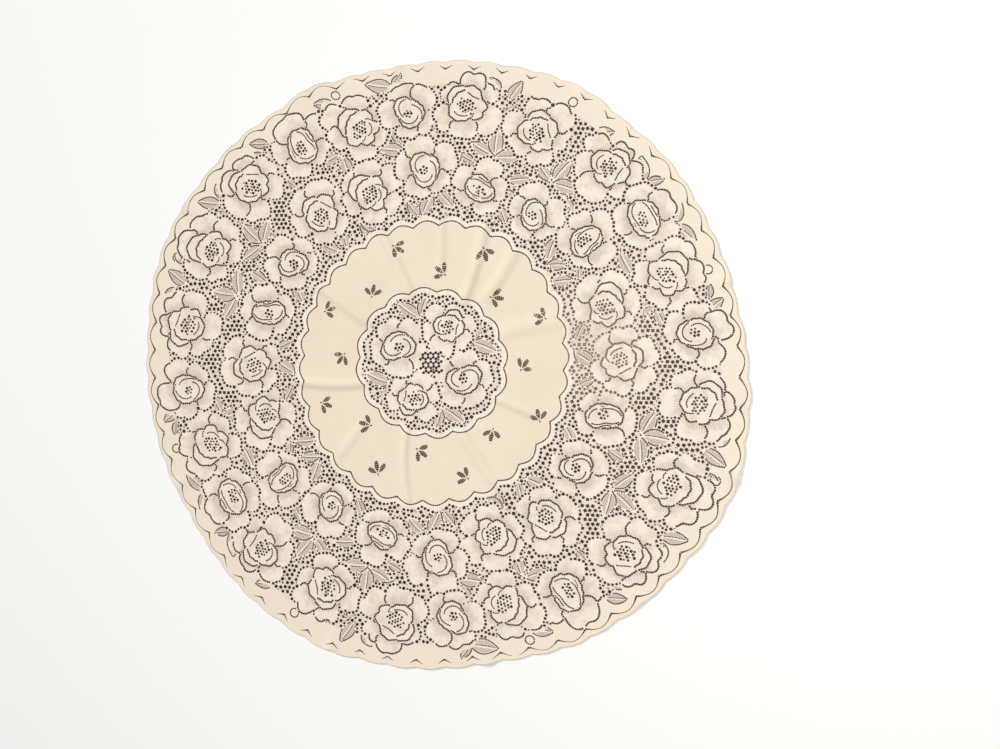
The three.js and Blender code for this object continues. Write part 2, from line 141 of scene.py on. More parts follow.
# Roses of one half of the cloth, which the other half has again, turned by 180 degrees.
# Petals reach farthest towards the direction that is given, counted from outwards.
OUTER_ROSES = [
    {"at": 5.8, "out": 390, "size": 49, "turn": 10, "petals": 5, "toward": 0, "form": "bud"},
    {"at": 19.6, "out": 373, "size": 55, "turn": 40, "petals": 6, "toward": -20, "form": "curled"},
    {"at": 33.2, "out": 379, "size": 51, "turn": 75, "petals": 5, "toward": 0, "form": "cup"},
    {"at": 46.6, "out": 389, "size": 53, "turn": 5, "petals": 6, "toward": 150, "form": "open"},
    {"at": 64.5, "out": 372, "size": 53, "turn": 30, "petals": 6, "toward": 10, "form": "open"},
    {"at": 82, "out": 389, "size": 54, "turn": 60, "petals": 6, "toward": -130, "form": "open"},
    {"at": 95.2, "out": 381, "size": 48, "turn": 20, "petals": 5, "toward": 0, "form": "bud"},
    {"at": 107.5, "out": 374, "size": 55, "turn": 50, "petals": 6, "toward": 20, "form": "curled"},
    {"at": 121.6, "out": 386, "size": 51, "turn": 0, "petals": 5, "toward": 0, "form": "cup"},
    {"at": 136.2, "out": 392, "size": 53, "turn": 35, "petals": 6, "toward": 150, "form": "open"},
    {"at": 153.3, "out": 385, "size": 54, "turn": 15, "petals": 6, "toward": -30, "form": "curled"},
    {"at": 171.3, "out": 393, "size": 54, "turn": 70, "petals": 6, "toward": -150, "form": "open"},
]
INNER_ROSES = [
    {"at": 0.3, "out": 281, "size": 50, "turn": 20, "petals": 6, "toward": 0, "form": "open"},
    {"at": 17, "out": 274, "size": 51, "turn": 55, "petals": 6, "toward": 90, "form": "curled"},
    {"at": 37.3, "out": 290, "size": 46, "turn": 0, "petals": 5, "toward": 0, "form": "cup"},
    {"at": 54.3, "out": 263, "size": 44, "turn": 30, "petals": 5, "toward": 0, "form": "bud"},
    {"at": 74, "out": 265, "size": 44, "turn": 65, "petals": 5, "toward": 0, "form": "cup"},
    {"at": 91.9, "out": 290, "size": 50, "turn": 10, "petals": 5, "toward": 0, "form": "bud"},
    {"at": 110.4, "out": 273, "size": 51, "turn": 45, "petals": 6, "toward": -90, "form": "curled"},
    {"at": 127.2, "out": 283, "size": 51, "turn": 25, "petals": 6, "toward": -20, "form": "open"},
    {"at": 144.8, "out": 265, "size": 43, "turn": 60, "petals": 5, "toward": 0, "form": "bud"},
    {"at": 163.1, "out": 266, "size": 43, "turn": 5, "petals": 5, "toward": 0, "form": "cup"},
]
MEDALLION_ROSES = [
    {"at": 62.8, "out": 61, "size": 43, "turn": 10, "petals": 6, "toward": 180, "form": "open"},
    {"at": 153.4, "out": 55, "size": 46, "turn": 40, "petals": 5, "toward": 180, "form": "bud"},
]

# Outer petals: spread over an even share of the turn, how much it and the turn vary, how far past its sides
# a petal is drawn, and its length, unevenness and middle notch in shares of the rose's size
PETAL = {
    "spread": 1.14,
    "spread_uneven": 0.1,
    "turn_uneven": 0.1,
    "past_sides": 1.2,
    "long": 0.95,
    "long_uneven": 0.06,
    "notch": 0.05,
    "notch_half": 0.16,
}

# How much farther the petals reach on the rose's long side, and how deep their small ruffles are
LEAN = 0.1
RUFFLE = 0.018

# How far the outer petals fall back towards their sides: as in the solid's drawing, and as cut here
PLAIN_LOBE = {"fall": 0.32, "power": 4.0, "least": 0.55}
DEEP_LOBE = {"fall": 0.4, "power": 3.8, "least": 0.6}

# The line between two outer petals: its angle from their middles, how far it bends and leans, and its gaps
# at the whorl and at the notch
PETAL_SIDE = {"clear": 0.3, "bend": 0.1, "lean": 0.08, "from_whorl": 0.02, "from_notch": 0.01}

# Edges of the inner petals for each form of rose, in degrees and shares of the rose's size
WHORLS = [
    {"form": "open", "from": 30, "to": 148, "inner": 0.38, "outer": 0.36, "bulge": 0.13, "line": "bold"},
    {"form": "open", "from": 140, "to": 192, "inner": 0.37, "outer": 0.4, "bulge": 0.08, "line": "bold"},
    {"form": "open", "from": 184, "to": 236, "inner": 0.38, "outer": 0.38, "bulge": 0.09, "line": "bold"},
    {"form": "open", "from": 228, "to": 316, "inner": 0.37, "outer": 0.44, "bulge": 0.12, "line": "bold"},
    {"form": "open", "from": -56, "to": 44, "inner": 0.42, "outer": 0.38, "bulge": 0.14, "line": "bold"},
    {"form": "open", "from": -48, "to": 38, "inner": 0.36, "outer": 0.36, "bulge": 0, "line": "bold"},
    {"form": "open", "from": 236, "to": 306, "inner": 0.34, "outer": 0.32, "bulge": -0.06, "line": "line"},
    {"form": "open", "from": 146, "to": 168, "inner": 0.37, "outer": 0.25, "bulge": 0, "line": "line"},
    {"form": "open", "from": 62, "to": 134, "inner": 0.34, "outer": 0.3, "bulge": 0.02, "line": "line"},
    {"form": "curled", "from": -66, "to": 62, "inner": 0.4, "outer": 0.42, "bulge": 0.17, "line": "bold"},
    {"form": "curled", "from": -58, "to": 56, "inner": 0.38, "outer": 0.38, "bulge": -0.03, "line": "bold"},
    {"form": "curled", "from": 58, "to": 122, "inner": 0.38, "outer": 0.38, "bulge": 0.11, "line": "bold"},
    {"form": "curled", "from": 114, "to": 182, "inner": 0.37, "outer": 0.38, "bulge": 0.12, "line": "bold"},
    {"form": "curled", "from": 174, "to": 236, "inner": 0.37, "outer": 0.38, "bulge": 0.12, "line": "bold"},
    {"form": "curled", "from": 228, "to": 296, "inner": 0.37, "outer": 0.39, "bulge": 0.10, "line": "bold"},
    {"form": "curled", "from": 122, "to": 150, "inner": 0.36, "outer": 0.25, "bulge": 0.02, "line": "line"},
    {"form": "curled", "from": 236, "to": 262, "inner": 0.36, "outer": 0.25, "bulge": 0.02, "line": "line"},
    {"form": "curled", "from": 156, "to": 232, "inner": 0.29, "outer": 0.27, "bulge": 0.03, "line": "line"},
    {"form": "cup", "from": -24, "to": 168, "inner": 0.42, "outer": 0.4, "bulge": 0.04, "line": "bold"},
    {"form": "cup", "from": 158, "to": 262, "inner": 0.42, "outer": 0.42, "bulge": 0.03, "line": "bold"},
    {"form": "cup", "from": 254, "to": 342, "inner": 0.41, "outer": 0.43, "bulge": 0.03, "line": "bold"},
    {"form": "cup", "from": 12, "to": 132, "inner": 0.4, "outer": 0.24, "bulge": -0.02, "line": "line"},
    {"form": "cup", "from": 124, "to": 204, "inner": 0.26, "outer": 0.38, "bulge": -0.01, "line": "line"},
    {"form": "cup", "from": 222, "to": 352, "inner": 0.38, "outer": 0.38, "bulge": -0.13, "line": "line"},
    {"form": "cup", "from": 256, "to": 316, "inner": 0.38, "outer": 0.37, "bulge": -0.04, "line": "line"},
    {"form": "cup", "from": 78, "to": 120, "inner": 0.33, "outer": 0.35, "bulge": 0, "line": "fine"},
    {"form": "bud", "from": -30, "to": 92, "inner": 0.38, "outer": 0.4, "bulge": 0.07, "line": "bold"},
    {"form": "bud", "from": 84, "to": 206, "inner": 0.38, "outer": 0.39, "bulge": 0.07, "line": "bold"},
    {"form": "bud", "from": 198, "to": 338, "inner": 0.38, "outer": 0.4, "bulge": 0.06, "line": "bold"},
    {"form": "bud", "from": -38, "to": 104, "inner": 0.37, "outer": 0.24, "bulge": 0.02, "line": "line"},
    {"form": "bud", "from": 82, "to": 224, "inner": 0.37, "outer": 0.24, "bulge": 0.02, "line": "line"},
    {"form": "bud", "from": 202, "to": 322, "inner": 0.37, "outer": 0.25, "bulge": 0.02, "line": "line"},
]

# For each form how large and how oval the ring of inner petals is, and the reach and squash of its heart
FORMS = {
    "open": {"scale": 1.13, "oval": 0.04, "reach": 0.25, "squash": 0.92},
    "curled": {"scale": 1.13, "oval": 0.03, "reach": 0.25, "squash": 1.15},
    "cup": {"scale": 1.12, "oval": 0.17, "reach": 0.19, "squash": 0.8},
    "bud": {"scale": 1.12, "oval": 0.12, "reach": 0.16, "squash": 0.9},
}

# Least reach of the inner petals, how far their edges sway, and how deep the ruffles of the bold ones are
WHORL_LEAST = 0.38
WHORL_SWAY = 0.04
WHORL_RUFFLE = 0.012

# Holes of a rose's heart: pitch and row pitch, half across and how much it varies, how far they stray, the
# bar kept, and how far off the rose's middle the cluster lies, as a share of its size, and at what turn
HEART = {
    "pitch": 5.2,
    "row_pitch": 0.87,
    "half": 1.95,
    "uneven": 0.4,
    "stray": 0.7,
    "bar": 0.6,
    "aside": 0.05,
    "aside_turn": 2.0,
}

# Leaves of one half: where each one starts, its turn from outwards, and its length
LEAF_ROWS = [
    {"at": 4.3, "out": 216, "turn": -40, "long": 41},
    {"at": 8.8, "out": 221, "turn": 56, "long": 28},
    {"at": 10, "out": 412, "turn": 28, "long": 33},
    {"at": 12.3, "out": 420, "turn": 76, "long": 24},
    {"at": 13.3, "out": 342, "turn": -80, "long": 36},
    {"at": 14.2, "out": 345, "turn": -175, "long": 40},
    {"at": 22.5, "out": 324, "turn": 95, "long": 43},
    {"at": 28.6, "out": 414, "turn": -70, "long": 42},
    {"at": 28.8, "out": 414, "turn": 44, "long": 32},
    {"at": 28.4, "out": 250, "turn": 56, "long": 26},
    {"at": 33.1, "out": 213, "turn": -28, "long": 36},
    {"at": 34.4, "out": 250, "turn": -44, "long": 25},
    {"at": 39, "out": 412, "turn": -30, "long": 28},
    {"at": 39.3, "out": 406, "turn": 52, "long": 43},
    {"at": 39.3, "out": 222, "turn": -38, "long": 33},
    {"at": 40.4, "out": 225, "turn": 27, "long": 41},
    {"at": 45.4, "out": 303, "turn": 72, "long": 30},
    {"at": 53.8, "out": 414, "turn": -51, "long": 32},
    {"at": 55.1, "out": 319, "turn": -72, "long": 43},
    {"at": 55.4, "out": 321, "turn": -8, "long": 43},
    {"at": 55.9, "out": 318, "turn": 68, "long": 36},
    {"at": 58.9, "out": 252, "turn": -26, "long": 27},
    {"at": 61, "out": 228, "turn": 45, "long": 31},
    {"at": 62.1, "out": 269, "turn": 69, "long": 22},
    {"at": 66.7, "out": 291, "turn": -65, "long": 36},
    {"at": 71, "out": 401, "turn": 139, "long": 24},
    {"at": 72.5, "out": 318, "turn": -77, "long": 43},
    {"at": 72.7, "out": 320, "turn": 9, "long": 43},
    {"at": 72.8, "out": 319, "turn": 74, "long": 42},
    {"at": 73.3, "out": 403, "turn": -21, "long": 38},
    {"at": 75.3, "out": 417, "turn": 51, "long": 28},
    {"at": 77.6, "out": 304, "turn": 70, "long": 28},
    {"at": 87.6, "out": 254, "turn": -137, "long": 38},
    {"at": 93.9, "out": 218, "turn": -30, "long": 40},
    {"at": 94.9, "out": 216, "turn": 33, "long": 31},
    {"at": 97.5, "out": 323, "turn": 78, "long": 42},
    {"at": 98, "out": 245, "turn": -49, "long": 28},
    {"at": 98.1, "out": 334, "turn": 22, "long": 31},
    {"at": 98.3, "out": 424, "turn": 75, "long": 45},
    {"at": 98.5, "out": 424, "turn": -43, "long": 28},
    {"at": 111, "out": 418, "turn": 71, "long": 35},
    {"at": 113, "out": 216, "turn": 40, "long": 30},
    {"at": 113.8, "out": 340, "turn": 174, "long": 38},
    {"at": 114.4, "out": 343, "turn": 87, "long": 38},
    {"at": 118.3, "out": 216, "turn": -30, "long": 34},
    {"at": 127.1, "out": 218, "turn": -24, "long": 32},
    {"at": 127.4, "out": 421, "turn": 54, "long": 31},
    {"at": 128.6, "out": 342, "turn": 6, "long": 24},
    {"at": 129.7, "out": 410, "turn": 50, "long": 24},
    {"at": 130.3, "out": 221, "turn": 26, "long": 40},
    {"at": 142.9, "out": 418, "turn": -51, "long": 28},
    {"at": 143.7, "out": 409, "turn": 30, "long": 38},
    {"at": 144.4, "out": 404, "turn": 155, "long": 24},
    {"at": 145.4, "out": 321, "turn": -70, "long": 40},
    {"at": 145.7, "out": 323, "turn": -10, "long": 43},
    {"at": 146.2, "out": 319, "turn": 70, "long": 38},
    {"at": 153.6, "out": 314, "turn": 172, "long": 32},
    {"at": 155, "out": 254, "turn": -61, "long": 22},
    {"at": 155.7, "out": 222, "turn": -44, "long": 36},
    {"at": 158.7, "out": 417, "turn": -32, "long": 24},
    {"at": 161, "out": 319, "turn": -69, "long": 43},
    {"at": 161.4, "out": 321, "turn": 9, "long": 43},
    {"at": 161.6, "out": 320, "turn": 74, "long": 42},
    {"at": 162.7, "out": 403, "turn": -22, "long": 38},
    {"at": 163.9, "out": 416, "turn": 47, "long": 30},
    {"at": 171.2, "out": 223, "turn": 33, "long": 28},
    {"at": 26.6, "out": 70, "turn": -50, "long": 43},
    {"at": 29.5, "out": 69, "turn": 23, "long": 33},
    {"at": 103.7, "out": 72, "turn": -32, "long": 33},
    {"at": 105.3, "out": 68, "turn": 41, "long": 43},
]

# A leaf's breadth as a share of its length, how its outline is drawn, and where its middle rib runs
LEAF_BREADTH = 0.54
LEAF_SHAPE = {"forward": 0.85, "full": 0.9}
MIDRIB = {"from": 0.1, "to": 0.88, "sway": 0.06}

# Small loops of stem outside the outer roses
LOOPS = [
    {"at": 17.9, "out": 430},
    {"at": 60.7, "out": 432},
    {"at": 110.3, "out": 433},
    {"at": 157.9, "out": 430},
]
LOOP_RADIUS = 6.5

# Sprigs of the plain band: where each one's stem is, and the direction of its middle leaf from the right
SPRIGS = [
    {"at": 20.4, "out": 183, "turn": 161},
    {"at": 46.3, "out": 134, "turn": 349},
    {"at": 64.5, "out": 182, "turn": 286},
    {"at": 81, "out": 134, "turn": 143},
    {"at": 108.3, "out": 183, "turn": 330},
    {"at": 132.4, "out": 134, "turn": 80},
    {"at": 154.6, "out": 185, "turn": 16},
    {"at": 174.3, "out": 133, "turn": 231},
    {"at": 199.4, "out": 181, "turn": 342},
    {"at": 225.2, "out": 133, "turn": 164},
    {"at": 244, "out": 181, "turn": 103},
    {"at": 261, "out": 132, "turn": 326},
    {"at": 288.3, "out": 179, "turn": 153},
    {"at": 313.7, "out": 134, "turn": 260},
    {"at": 332.5, "out": 186, "turn": 105},
    {"at": 355.6, "out": 134, "turn": 51},
]

# A sprig's leaf and the fan of its three leaves, in degrees, the middle one's length beside the others', the
# core of a slit that other cuts keep clear of, and the stem
SPRIG_LEAF = {"long": 14.5, "broad": 6.6, "fan": 50, "steps": 6, "bar": 1.0, "off": 2.4, "apart": 0.6}
SPRIG_MIDDLE = 1.1
SPRIG_CORE = 0.5
SPRIG_STEM = {"long": 3.4, "wide": 1.7, "back": 0.8}

# Rows of small slits that draw the lines: slit length, slit width, and pitch along the line
LINES = {
    "fine": {"long": 2.2, "wide": 1.4, "pitch": 3.1},
    "line": {"long": 2.4, "wide": 2.0, "pitch": 3.2},
    "bold": {"long": 2.55, "wide": 2.75, "pitch": 3.4},
}

# A slit of such a row: how much closer to the others than half its length it may lie, its core that they keep
# clear of, as a share of its length, and how much its length and width vary
SLIT = {"tuck": 0.1, "core": 0.35, "long_uneven": 0.06, "wide_uneven": 0.12}

# How far inside its own figure a cut has to lie
OWN_MARGIN = 0.4

# The line round a figure: its inset, how far beyond a rose it looks for solid clothwork or another figure,
# the net's room that still counts as solid, and its distance from the border's line
OUTLINE = {"inset": 0.8, "beside": 6.0, "solid_room": 0.5, "off_border": 3.0}

# The border's line: slit width in general, what is added where the line is strong and in its hollows, the
# most, the least that is cut, the room that a slit needs, its core, and the angle where the line is strongest
BORDER_SLIT = {"least": 0.5, "strong": 1.0, "hollow": 2.1, "most": 2.8, "shown": 0.8, "bar": 1.6, "core": 1.0}
BORDER_STRONG = 165.0

# Bars of clothwork left between two net holes, and between two slits
BAR = 1.2
THIN_BAR = 0.45

# The net's other holes: half across and how much it varies, the least that is cut, the room that one needs,
# its distance from a figure, and how far it strays
NET_HOLE = {"half": 2.65, "uneven": 0.4, "least": 0.9, "room": 1.4, "off": 0.3, "stray": 0.45}

# How far the square holes turn from place to place, and how far out their corners are beside their half width
NET_TURN = 0.55
SQUARE = 1.25

# Rows of net holes that follow an edge: distance outside it, and pitch
EDGE_ROW = {"off": 2.9, "pitch": 5.7}
RIM_ROW = {"off": 2.7, "pitch": 5.7}
TIGHT_ROW = {"off": 1.9, "pitch": 3.9}

# Overcasting of the hem, and how high its middle lies at the least, as a share of a stitch's height
STITCH = {"pitch": 1.7, "long": 2.4, "wide": 1.0, "high": 1.3, "slant": 24.0, "uneven": 0.15, "inset": 0.5}
STITCH_LOWEST = 0.58
STITCH_SEED = 7

# The patch of small dots in the middle of the medallion
HONEYCOMB = {
    "columns": 4,
    "rows": 5,
    "pitch": 7.9,
    "row_pitch": 6.7,
    "dot": 2.5,
    "thread": 0.4,
    "turn": 2.0,
    "half_wide": 21.0,
    "half_high": 17.0,
    "core": 1.9,
}

# Turns of the two halves of the cloth, in which the figures come again
HALVES = (0.0, math.pi)

# Gentle waves of the loose cloth: mean height, and height of the long and the short ones
WAVE = {"mean": 0.45, "long": 0.35, "short": 0.1}

# Points that carry the folds: distance apart on the even grid and along a fold, how many lie across a crease
# and a pucker, the room round each, and the grid's distance from the hem and a pucker's
FILLER = {
    "grid": 9.0,
    "along": 5.0,
    "across_crease": 13,
    "across_pucker": 9,
    "room": 1.6,
    "off_hem": 8.0,
    "pucker_off_hem": 4.0,
}

# Row pitch of an even grid of triangles, as a share of its pitch
TRIANGLE_ROW = 0.866

# Places to each scallop of the hem
HEM_STEPS = 16

# What a face belongs to, for the material, as the numbers of the attribute figure_kind
KINDS = ("cloth", "net", "petal", "leaf", "hem", "thread", "rim", "whorl")
KIND = {name: float(number) for number, name in enumerate(KINDS)}

# Holes with a larger area than this, in square millimetres, have their walls on the face
WIDE_HOLE = 6.0

# Bake map: margin round a piece, and how far the walls are spread beside their edges
BAKE_MARGIN = 0.002
BAKE_LIMIT = 0.0005
WALL_SHARE = 0.3

# Edges that turn by more than this, in degrees, are shaded sharp
SHARP_ANGLE = 50.0

# A rose's farthest reach, as a share of its size, and how far past its reach any figure counts for a place
ROSE_REACH = 1.1
SURVEY = {"share": 1.1, "pad": 16.0}

# Distance square to a wavy outline, as a share of the distance along a ray or across a leaf
SQUARE_ON = 0.9

# Farther than any distance that matters
FAR = 99.0

# Scale of the map where there is no figure, and how far outside the net's zones their solid rims begin
PLAIN_MAP = 0.01
RIM_START = 1.0

# Faint rosy pale patches on the right of the cloth, painted pools of light: place, core and reach in metres
LIGHT_POOLS = [
    {"at": (0.232, 0.022), "core": 0.012, "reach": 0.06, "strength": 0.45},
    {"at": (0.214, 0.052), "core": 0.004, "reach": 0.03, "strength": 0.3},
    {"at": (0.462, -0.075), "core": 0.002, "reach": 0.022, "strength": 0.35},
]

# The camera stands over the cloth, a little towards its right, as worked out from the photograph
CAMERA_PLACE = (405.4, -42.5, 1579.3)
CAMERA_RIGHT = (0.98193, 0.00157, -0.18924)
CAMERA_UP = (0.00157, 0.99986, 0.01649)
FOCAL_PIXELS = 1100
FRAME_PIXELS = 1000
SENSOR_WIDTH = 36.0

# Soft lights, in metres and watts, and the even light of the room
LIGHTS = [
    {
        "name": "window",
        "at": (-8.4, 6.8, 8.0),
        "to": (0, 0, 0),
        "size": 4.8,
        "power": 1110,
        "colour": (1.0, 0.98, 0.94),
    },
    {
        "name": "far_window",
        "at": (0.95, 0.1, 2.0),
        "to": (0.2, 0, 0),
        "size": 1.0,
        "power": 19.5,
        "colour": (1.0, 0.985, 0.95),
    },
]
ROOM_COLOUR = (1.0, 0.985, 0.96, 1)
ROOM_STRENGTH = 0.365

# The pale floor and the dark surface over it: sizes and heights in metres, and the dark one's inset in
# millimetres, which grows where the hem is lifted
FLOOR = {"radius": 14.0, "height": -0.0012, "colour": (0.95, 0.96, 0.975, 1), "roughness": 0.7}
DARK = {
    "height": -0.0004,
    "inset": 3.5,
    "inset_by_lift": 2.5,
    # The dark surface's colours: its paler right side and its palest patch beside the band are painted light
    "left": (0.024, 0.012, 0.004, 1),
    "right": (0.052, 0.032, 0.018, 1),
    "lit_patch": (0.36, 0.245, 0.175, 1),
}
STAGE_POINTS = 512

# Colours of the lace
IVORY = (0.875, 0.765, 0.61, 1)
PALE = (0.925, 0.84, 0.725, 1)
WARM = (0.82, 0.705, 0.545, 1)
GREY = (0.40, 0.325, 0.27, 1)
BROWN = (0.27, 0.195, 0.12, 1)
# Rosy colour of the painted pools of light
ROSY_LIGHT = (0.86, 0.70, 0.61, 1)

# How much each part of the lace turns grey or brown
NET_GREY = 0.22
HEM_GREY = 0.45
# Painted shade in the hollows of the weave
WEAVE_SHADE = 0.14
THREAD_BROWN = 0.85


# Plane geometry of the pattern


def place(angle, radius):
    """Points from their angles and radii."""
    return np.stack([radius * np.cos(angle), radius * np.sin(angle)], -1)


def polar(points):
    """Angles and radii of points."""
    return np.arctan2(points[..., 1], points[..., 0]), np.hypot(points[..., 0], points[..., 1])


def scalloped(line, angle):
    """Radius of a scalloped line at each angle, greatest at its crests."""
    wave = np.abs(np.cos(line["scallops"] * (angle - math.radians(line["phase"])) / 2))
    return line["radius"] - line["depth"] * (1 - wave)


def eased(table, column, where, value):
    """Smooth curve through a table's values."""
    at = np.array([row[column] for row in table], float)
    out = np.array([row[value] for row in table], float)
    before = np.clip(np.searchsorted(at, where, side="right") - 1, 0, len(at) - 2)
    share = np.clip((where - at[before]) / (at[before + 1] - at[before]), 0, 1)
    return out[before] + (out[before + 1] - out[before]) * (1 - np.cos(math.pi * share)) / 2


def laid(points):
    """Moves places of the true round pattern to where they lie in the uneven cloth."""
    angle, radius = polar(points)
    edge = eased(UNEVEN, "at", np.degrees(angle) % 360, "out") * (radius / EDGE_RADIUS) ** 3
    stretch = eased(STRETCH, "out", radius, "by") * np.cos(2 * (angle - math.radians(STRETCH_ANGLE)))
    return place(angle, radius + edge + stretch)


def hem_line(inset=0.0):
    """The hem of the true round cloth, moved inwards by the given distance."""
    angle = np.linspace(0, 2 * math.pi, EDGE_SCALLOPS * HEM_STEPS, endpoint=False)
    return place(angle, scalloped(HEM, angle) - inset)


def outline_middle():
    """Middle of the laid hem's box."""
    angle = np.linspace(0, 2 * math.pi, EDGE_SCALLOPS * 4, endpoint=False)
    hem = laid(place(angle, scalloped(HEM, angle)))
    return (hem.min(0) + hem.max(0)) / 2


def centred(points):
    """Where places of the true pattern lie, counted from the middle of the laid outline."""
    return laid(points) - outline_middle()


def ahead_and_aside(direction):
    """Unit steps along a direction and to its left."""
    ahead = np.array([math.cos(direction), math.sin(direction)])
    return ahead, np.array([-ahead[1], ahead[0]])


def soft_fall(distance, reach):
    """Falls smoothly from 1 at no distance to 0 at the given reach."""
    return np.where(distance < reach, np.cos(math.pi * distance / (2 * reach)) ** 2, 0)


def across_from(angle, middle, radius):
    """Distance round from the ray at the given angle."""
    return np.abs((angle - middle + math.pi) % (2 * math.pi) - math.pi) * radius


def crease_angle(crease, radius):
    """Angle of a crease's middle line at each radius."""
    share = (radius - crease["out"]) / (crease["to_out"] - crease["out"])
    return np.radians(crease["at"] + (crease["to_at"] - crease["at"]) * share)


def lift(points):
    """Height of the underside over the surface that the cloth lies on."""
    angle, radius = polar(points)
    high = np.zeros_like(radius)
    for row in CREASES:
        beyond = np.maximum(np.maximum(row["out"] - radius, radius - row["to_out"]), 0)
        across = across_from(angle, crease_angle(row, radius), radius)
        high = np.maximum(high, row["high"] * soft_fall(across, row["half"]) * soft_fall(beyond, CREASE_FADE))
    outside = np.maximum(radius - PUCKER_START, 0) / (EDGE_RADIUS - PUCKER_START)
    for row in PUCKERS:
        across = across_from(angle, math.radians(row["at"]), radius)
        high = np.maximum(high, row["high"] * outside * soft_fall(across, row["half"]))
    return high


# Figures: roses first, then the leaves that lie behind them


def rose_reach(rose, direction, lobe=DEEP_LOBE):
    """Farthest reach of a rose's petals in each direction, as a share of its size."""
    reach = np.full_like(direction, lobe["least"])
    for i in range(rose["petals"]):
        middle = petal_middle(rose, i)
        uneven = 1 + PETAL["spread_uneven"] * math.sin(1.7 * i + 2 * rose["sway"])
        spread = math.pi / rose["petals"] * PETAL["spread"] * uneven
        share = np.abs((direction - middle + math.pi) % (2 * math.pi) - math.pi) / spread
        long = PETAL["long"] + PETAL["long_uneven"] * math.sin(3.1 * i + rose["sway"])
        notch = PETAL["notch"] * np.exp(-((share / PETAL["notch_half"]) ** 2))
        petal = long * (1 - lobe["fall"] * share ** lobe["power"]) - notch
        reach = np.where(share < PETAL["past_sides"], np.maximum(reach, petal), reach)
    ruffled = RUFFLE * np.sin(11 * direction + 3 * rose["sway"])
    return reach * (1 + LEAN * np.cos(direction - rose["toward"])) + ruffled


def petal_middle(rose, i):
    """Direction of a petal's middle."""
    stray = PETAL["turn_uneven"] * math.sin(2.4 * i + rose["sway"])
    return rose["turn"] + 2 * math.pi * i / rose["petals"] + stray


def rose_distance(rose, points, lobe):
    """Rough distance from a rose's outline, under zero inside it."""
    direction, radius = polar(points - rose["centre"])
    return SQUARE_ON * (radius - rose["size"] * rose_reach(rose, direction, lobe))


def leaf_half_width(leaf, share):
    """Half a leaf's breadth at each share of its length."""
    share = np.clip(share, 0, 1)
    return 0.5 * leaf["broad"] * np.sin(math.pi * share ** LEAF_SHAPE["forward"]) ** LEAF_SHAPE["full"]


def leaf_places(leaf, points):
    """Places along a leaf, as a share of its length, and across it in millimetres."""
    offset = points - leaf["root"]
    ahead, aside = ahead_and_aside(leaf["angle"])
    return offset @ ahead / leaf["long"], offset @ aside


def leaf_distance(leaf, points):
    """Rough distance from a leaf's outline, under zero inside it."""
    along, across = leaf_places(leaf, points)
    beyond = np.maximum(np.maximum(-along, along - 1), 0) * leaf["long"]
    return SQUARE_ON * (np.abs(across) - leaf_half_width(leaf, along)) + beyond


def make_roses():
    """The roses of both halves."""
    roses = []
    for half in HALVES:
        for row in OUTER_ROSES + INNER_ROSES + MEDALLION_ROSES:
            angle = math.radians(row["at"]) + half
            centre = place(np.float64(angle), row["out"])
            rose = dict(row, figure="rose", centre=centre, reach=ROSE_REACH * row["size"])
            rose["turn"] = math.radians(row["turn"]) + angle
            rose["toward"] = math.radians(row["toward"]) + angle
            rose["sway"] = 0.37 * row["at"]
            roses.append(rose)
    return roses


def make_leaves():
    """The leaves of both halves."""
    leaves = []
    for half in HALVES:
        for row in LEAF_ROWS:
            angle = math.radians(row["at"]) + half
            root = place(np.float64(angle), row["out"])
            direction = angle + math.radians(row["turn"])
            leaf = {"figure": "leaf", "root": root, "angle": direction, "long": row["long"]}
            leaf["centre"] = root + place(np.float64(direction), row["long"] / 2)
            leaves.append(dict(leaf, broad=LEAF_BREADTH * row["long"], reach=row["long"] / 2))
    return leaves


ROSES = make_roses()
LEAVES = make_leaves()
FIGURES = ROSES + LEAVES


def zone_room(points):
    """How far inside the net's zones each place is; under zero in the solid parts between them."""
    angle, radius = polar(points)
    in_medallion = scalloped(MEDALLION, angle) - MEDALLION["rim"] - radius
    in_ring = np.minimum(radius - scalloped(BAND, angle) - BAND["rim"], NET_LIMIT - radius)
    half_patch = np.array([HONEYCOMB["half_wide"], HONEYCOMB["half_high"]])
    off_patch = (np.abs(points) - half_patch).max(1)
    return np.maximum(np.minimum(in_medallion, off_patch), in_ring)


def survey(points, lobe=DEEP_LOBE):
    """For each place the distance to the nearest figure, under zero inside it, and that figure's number."""
    nearest = np.full(len(points), FAR)
    owner = np.full(len(points), -1)
    from_roses = np.full(len(points), FAR)
    for number, figure in enumerate(FIGURES):
        offset = points - figure["centre"]
        near = np.flatnonzero(np.abs(offset).max(1) < figure["reach"] * SURVEY["share"] + SURVEY["pad"])
        if not len(near):
            continue
        is_rose = figure["figure"] == "rose"
        spots = points[near]
        distance = rose_distance(figure, spots, lobe) if is_rose else leaf_distance(figure, spots)
        kept = np.maximum(distance, RIBBON - from_roses[near])
        if not is_rose:
            behind = owner[near] >= len(ROSES)
            kept = np.where(behind, np.maximum(kept, LEAF_RIBBON - nearest[near]), kept)
        closer = kept < nearest[near]
        nearest[near[closer]] = kept[closer]
        owner[near[closer]] = number
        if is_rose:
            from_roses[near] = np.minimum(from_roses[near], distance)
    return nearest, owner


# Cuts of the openwork


class Cuts:
    """Every hole of the lace as a small outline, with a coarse grid to keep the bars between them."""

    cell = 8.0

    def __init__(self):
        self.outlines = []
        self.lines = []
        self.line = 0
        self.grid = {}

    def room(self, x, y):
        """Distance from a place to the nearest hole's edge."""
        column, row = int(x // self.cell), int(y // self.cell)
        nearest = FAR
        for i in (column - 1, column, column + 1):
            for j in (row - 1, row, row + 1):
                for cx, cy, radius in self.grid.get((i, j), ()):
                    nearest = min(nearest, math.hypot(x - cx, y - cy) - radius)
        return nearest

    def add(self, outline, x, y, radius, line=0):
        self.outlines.append(outline)
        self.lines.append(line)
        self.grid.setdefault((int(x // self.cell), int(y // self.cell)), []).append((x, y, radius))


def ripple(x, y, seed):
    """A value from -1 to 1 that changes from place to place."""
    return math.sin(2.9898 * x + 7.8233 * y + 3.7 * seed)


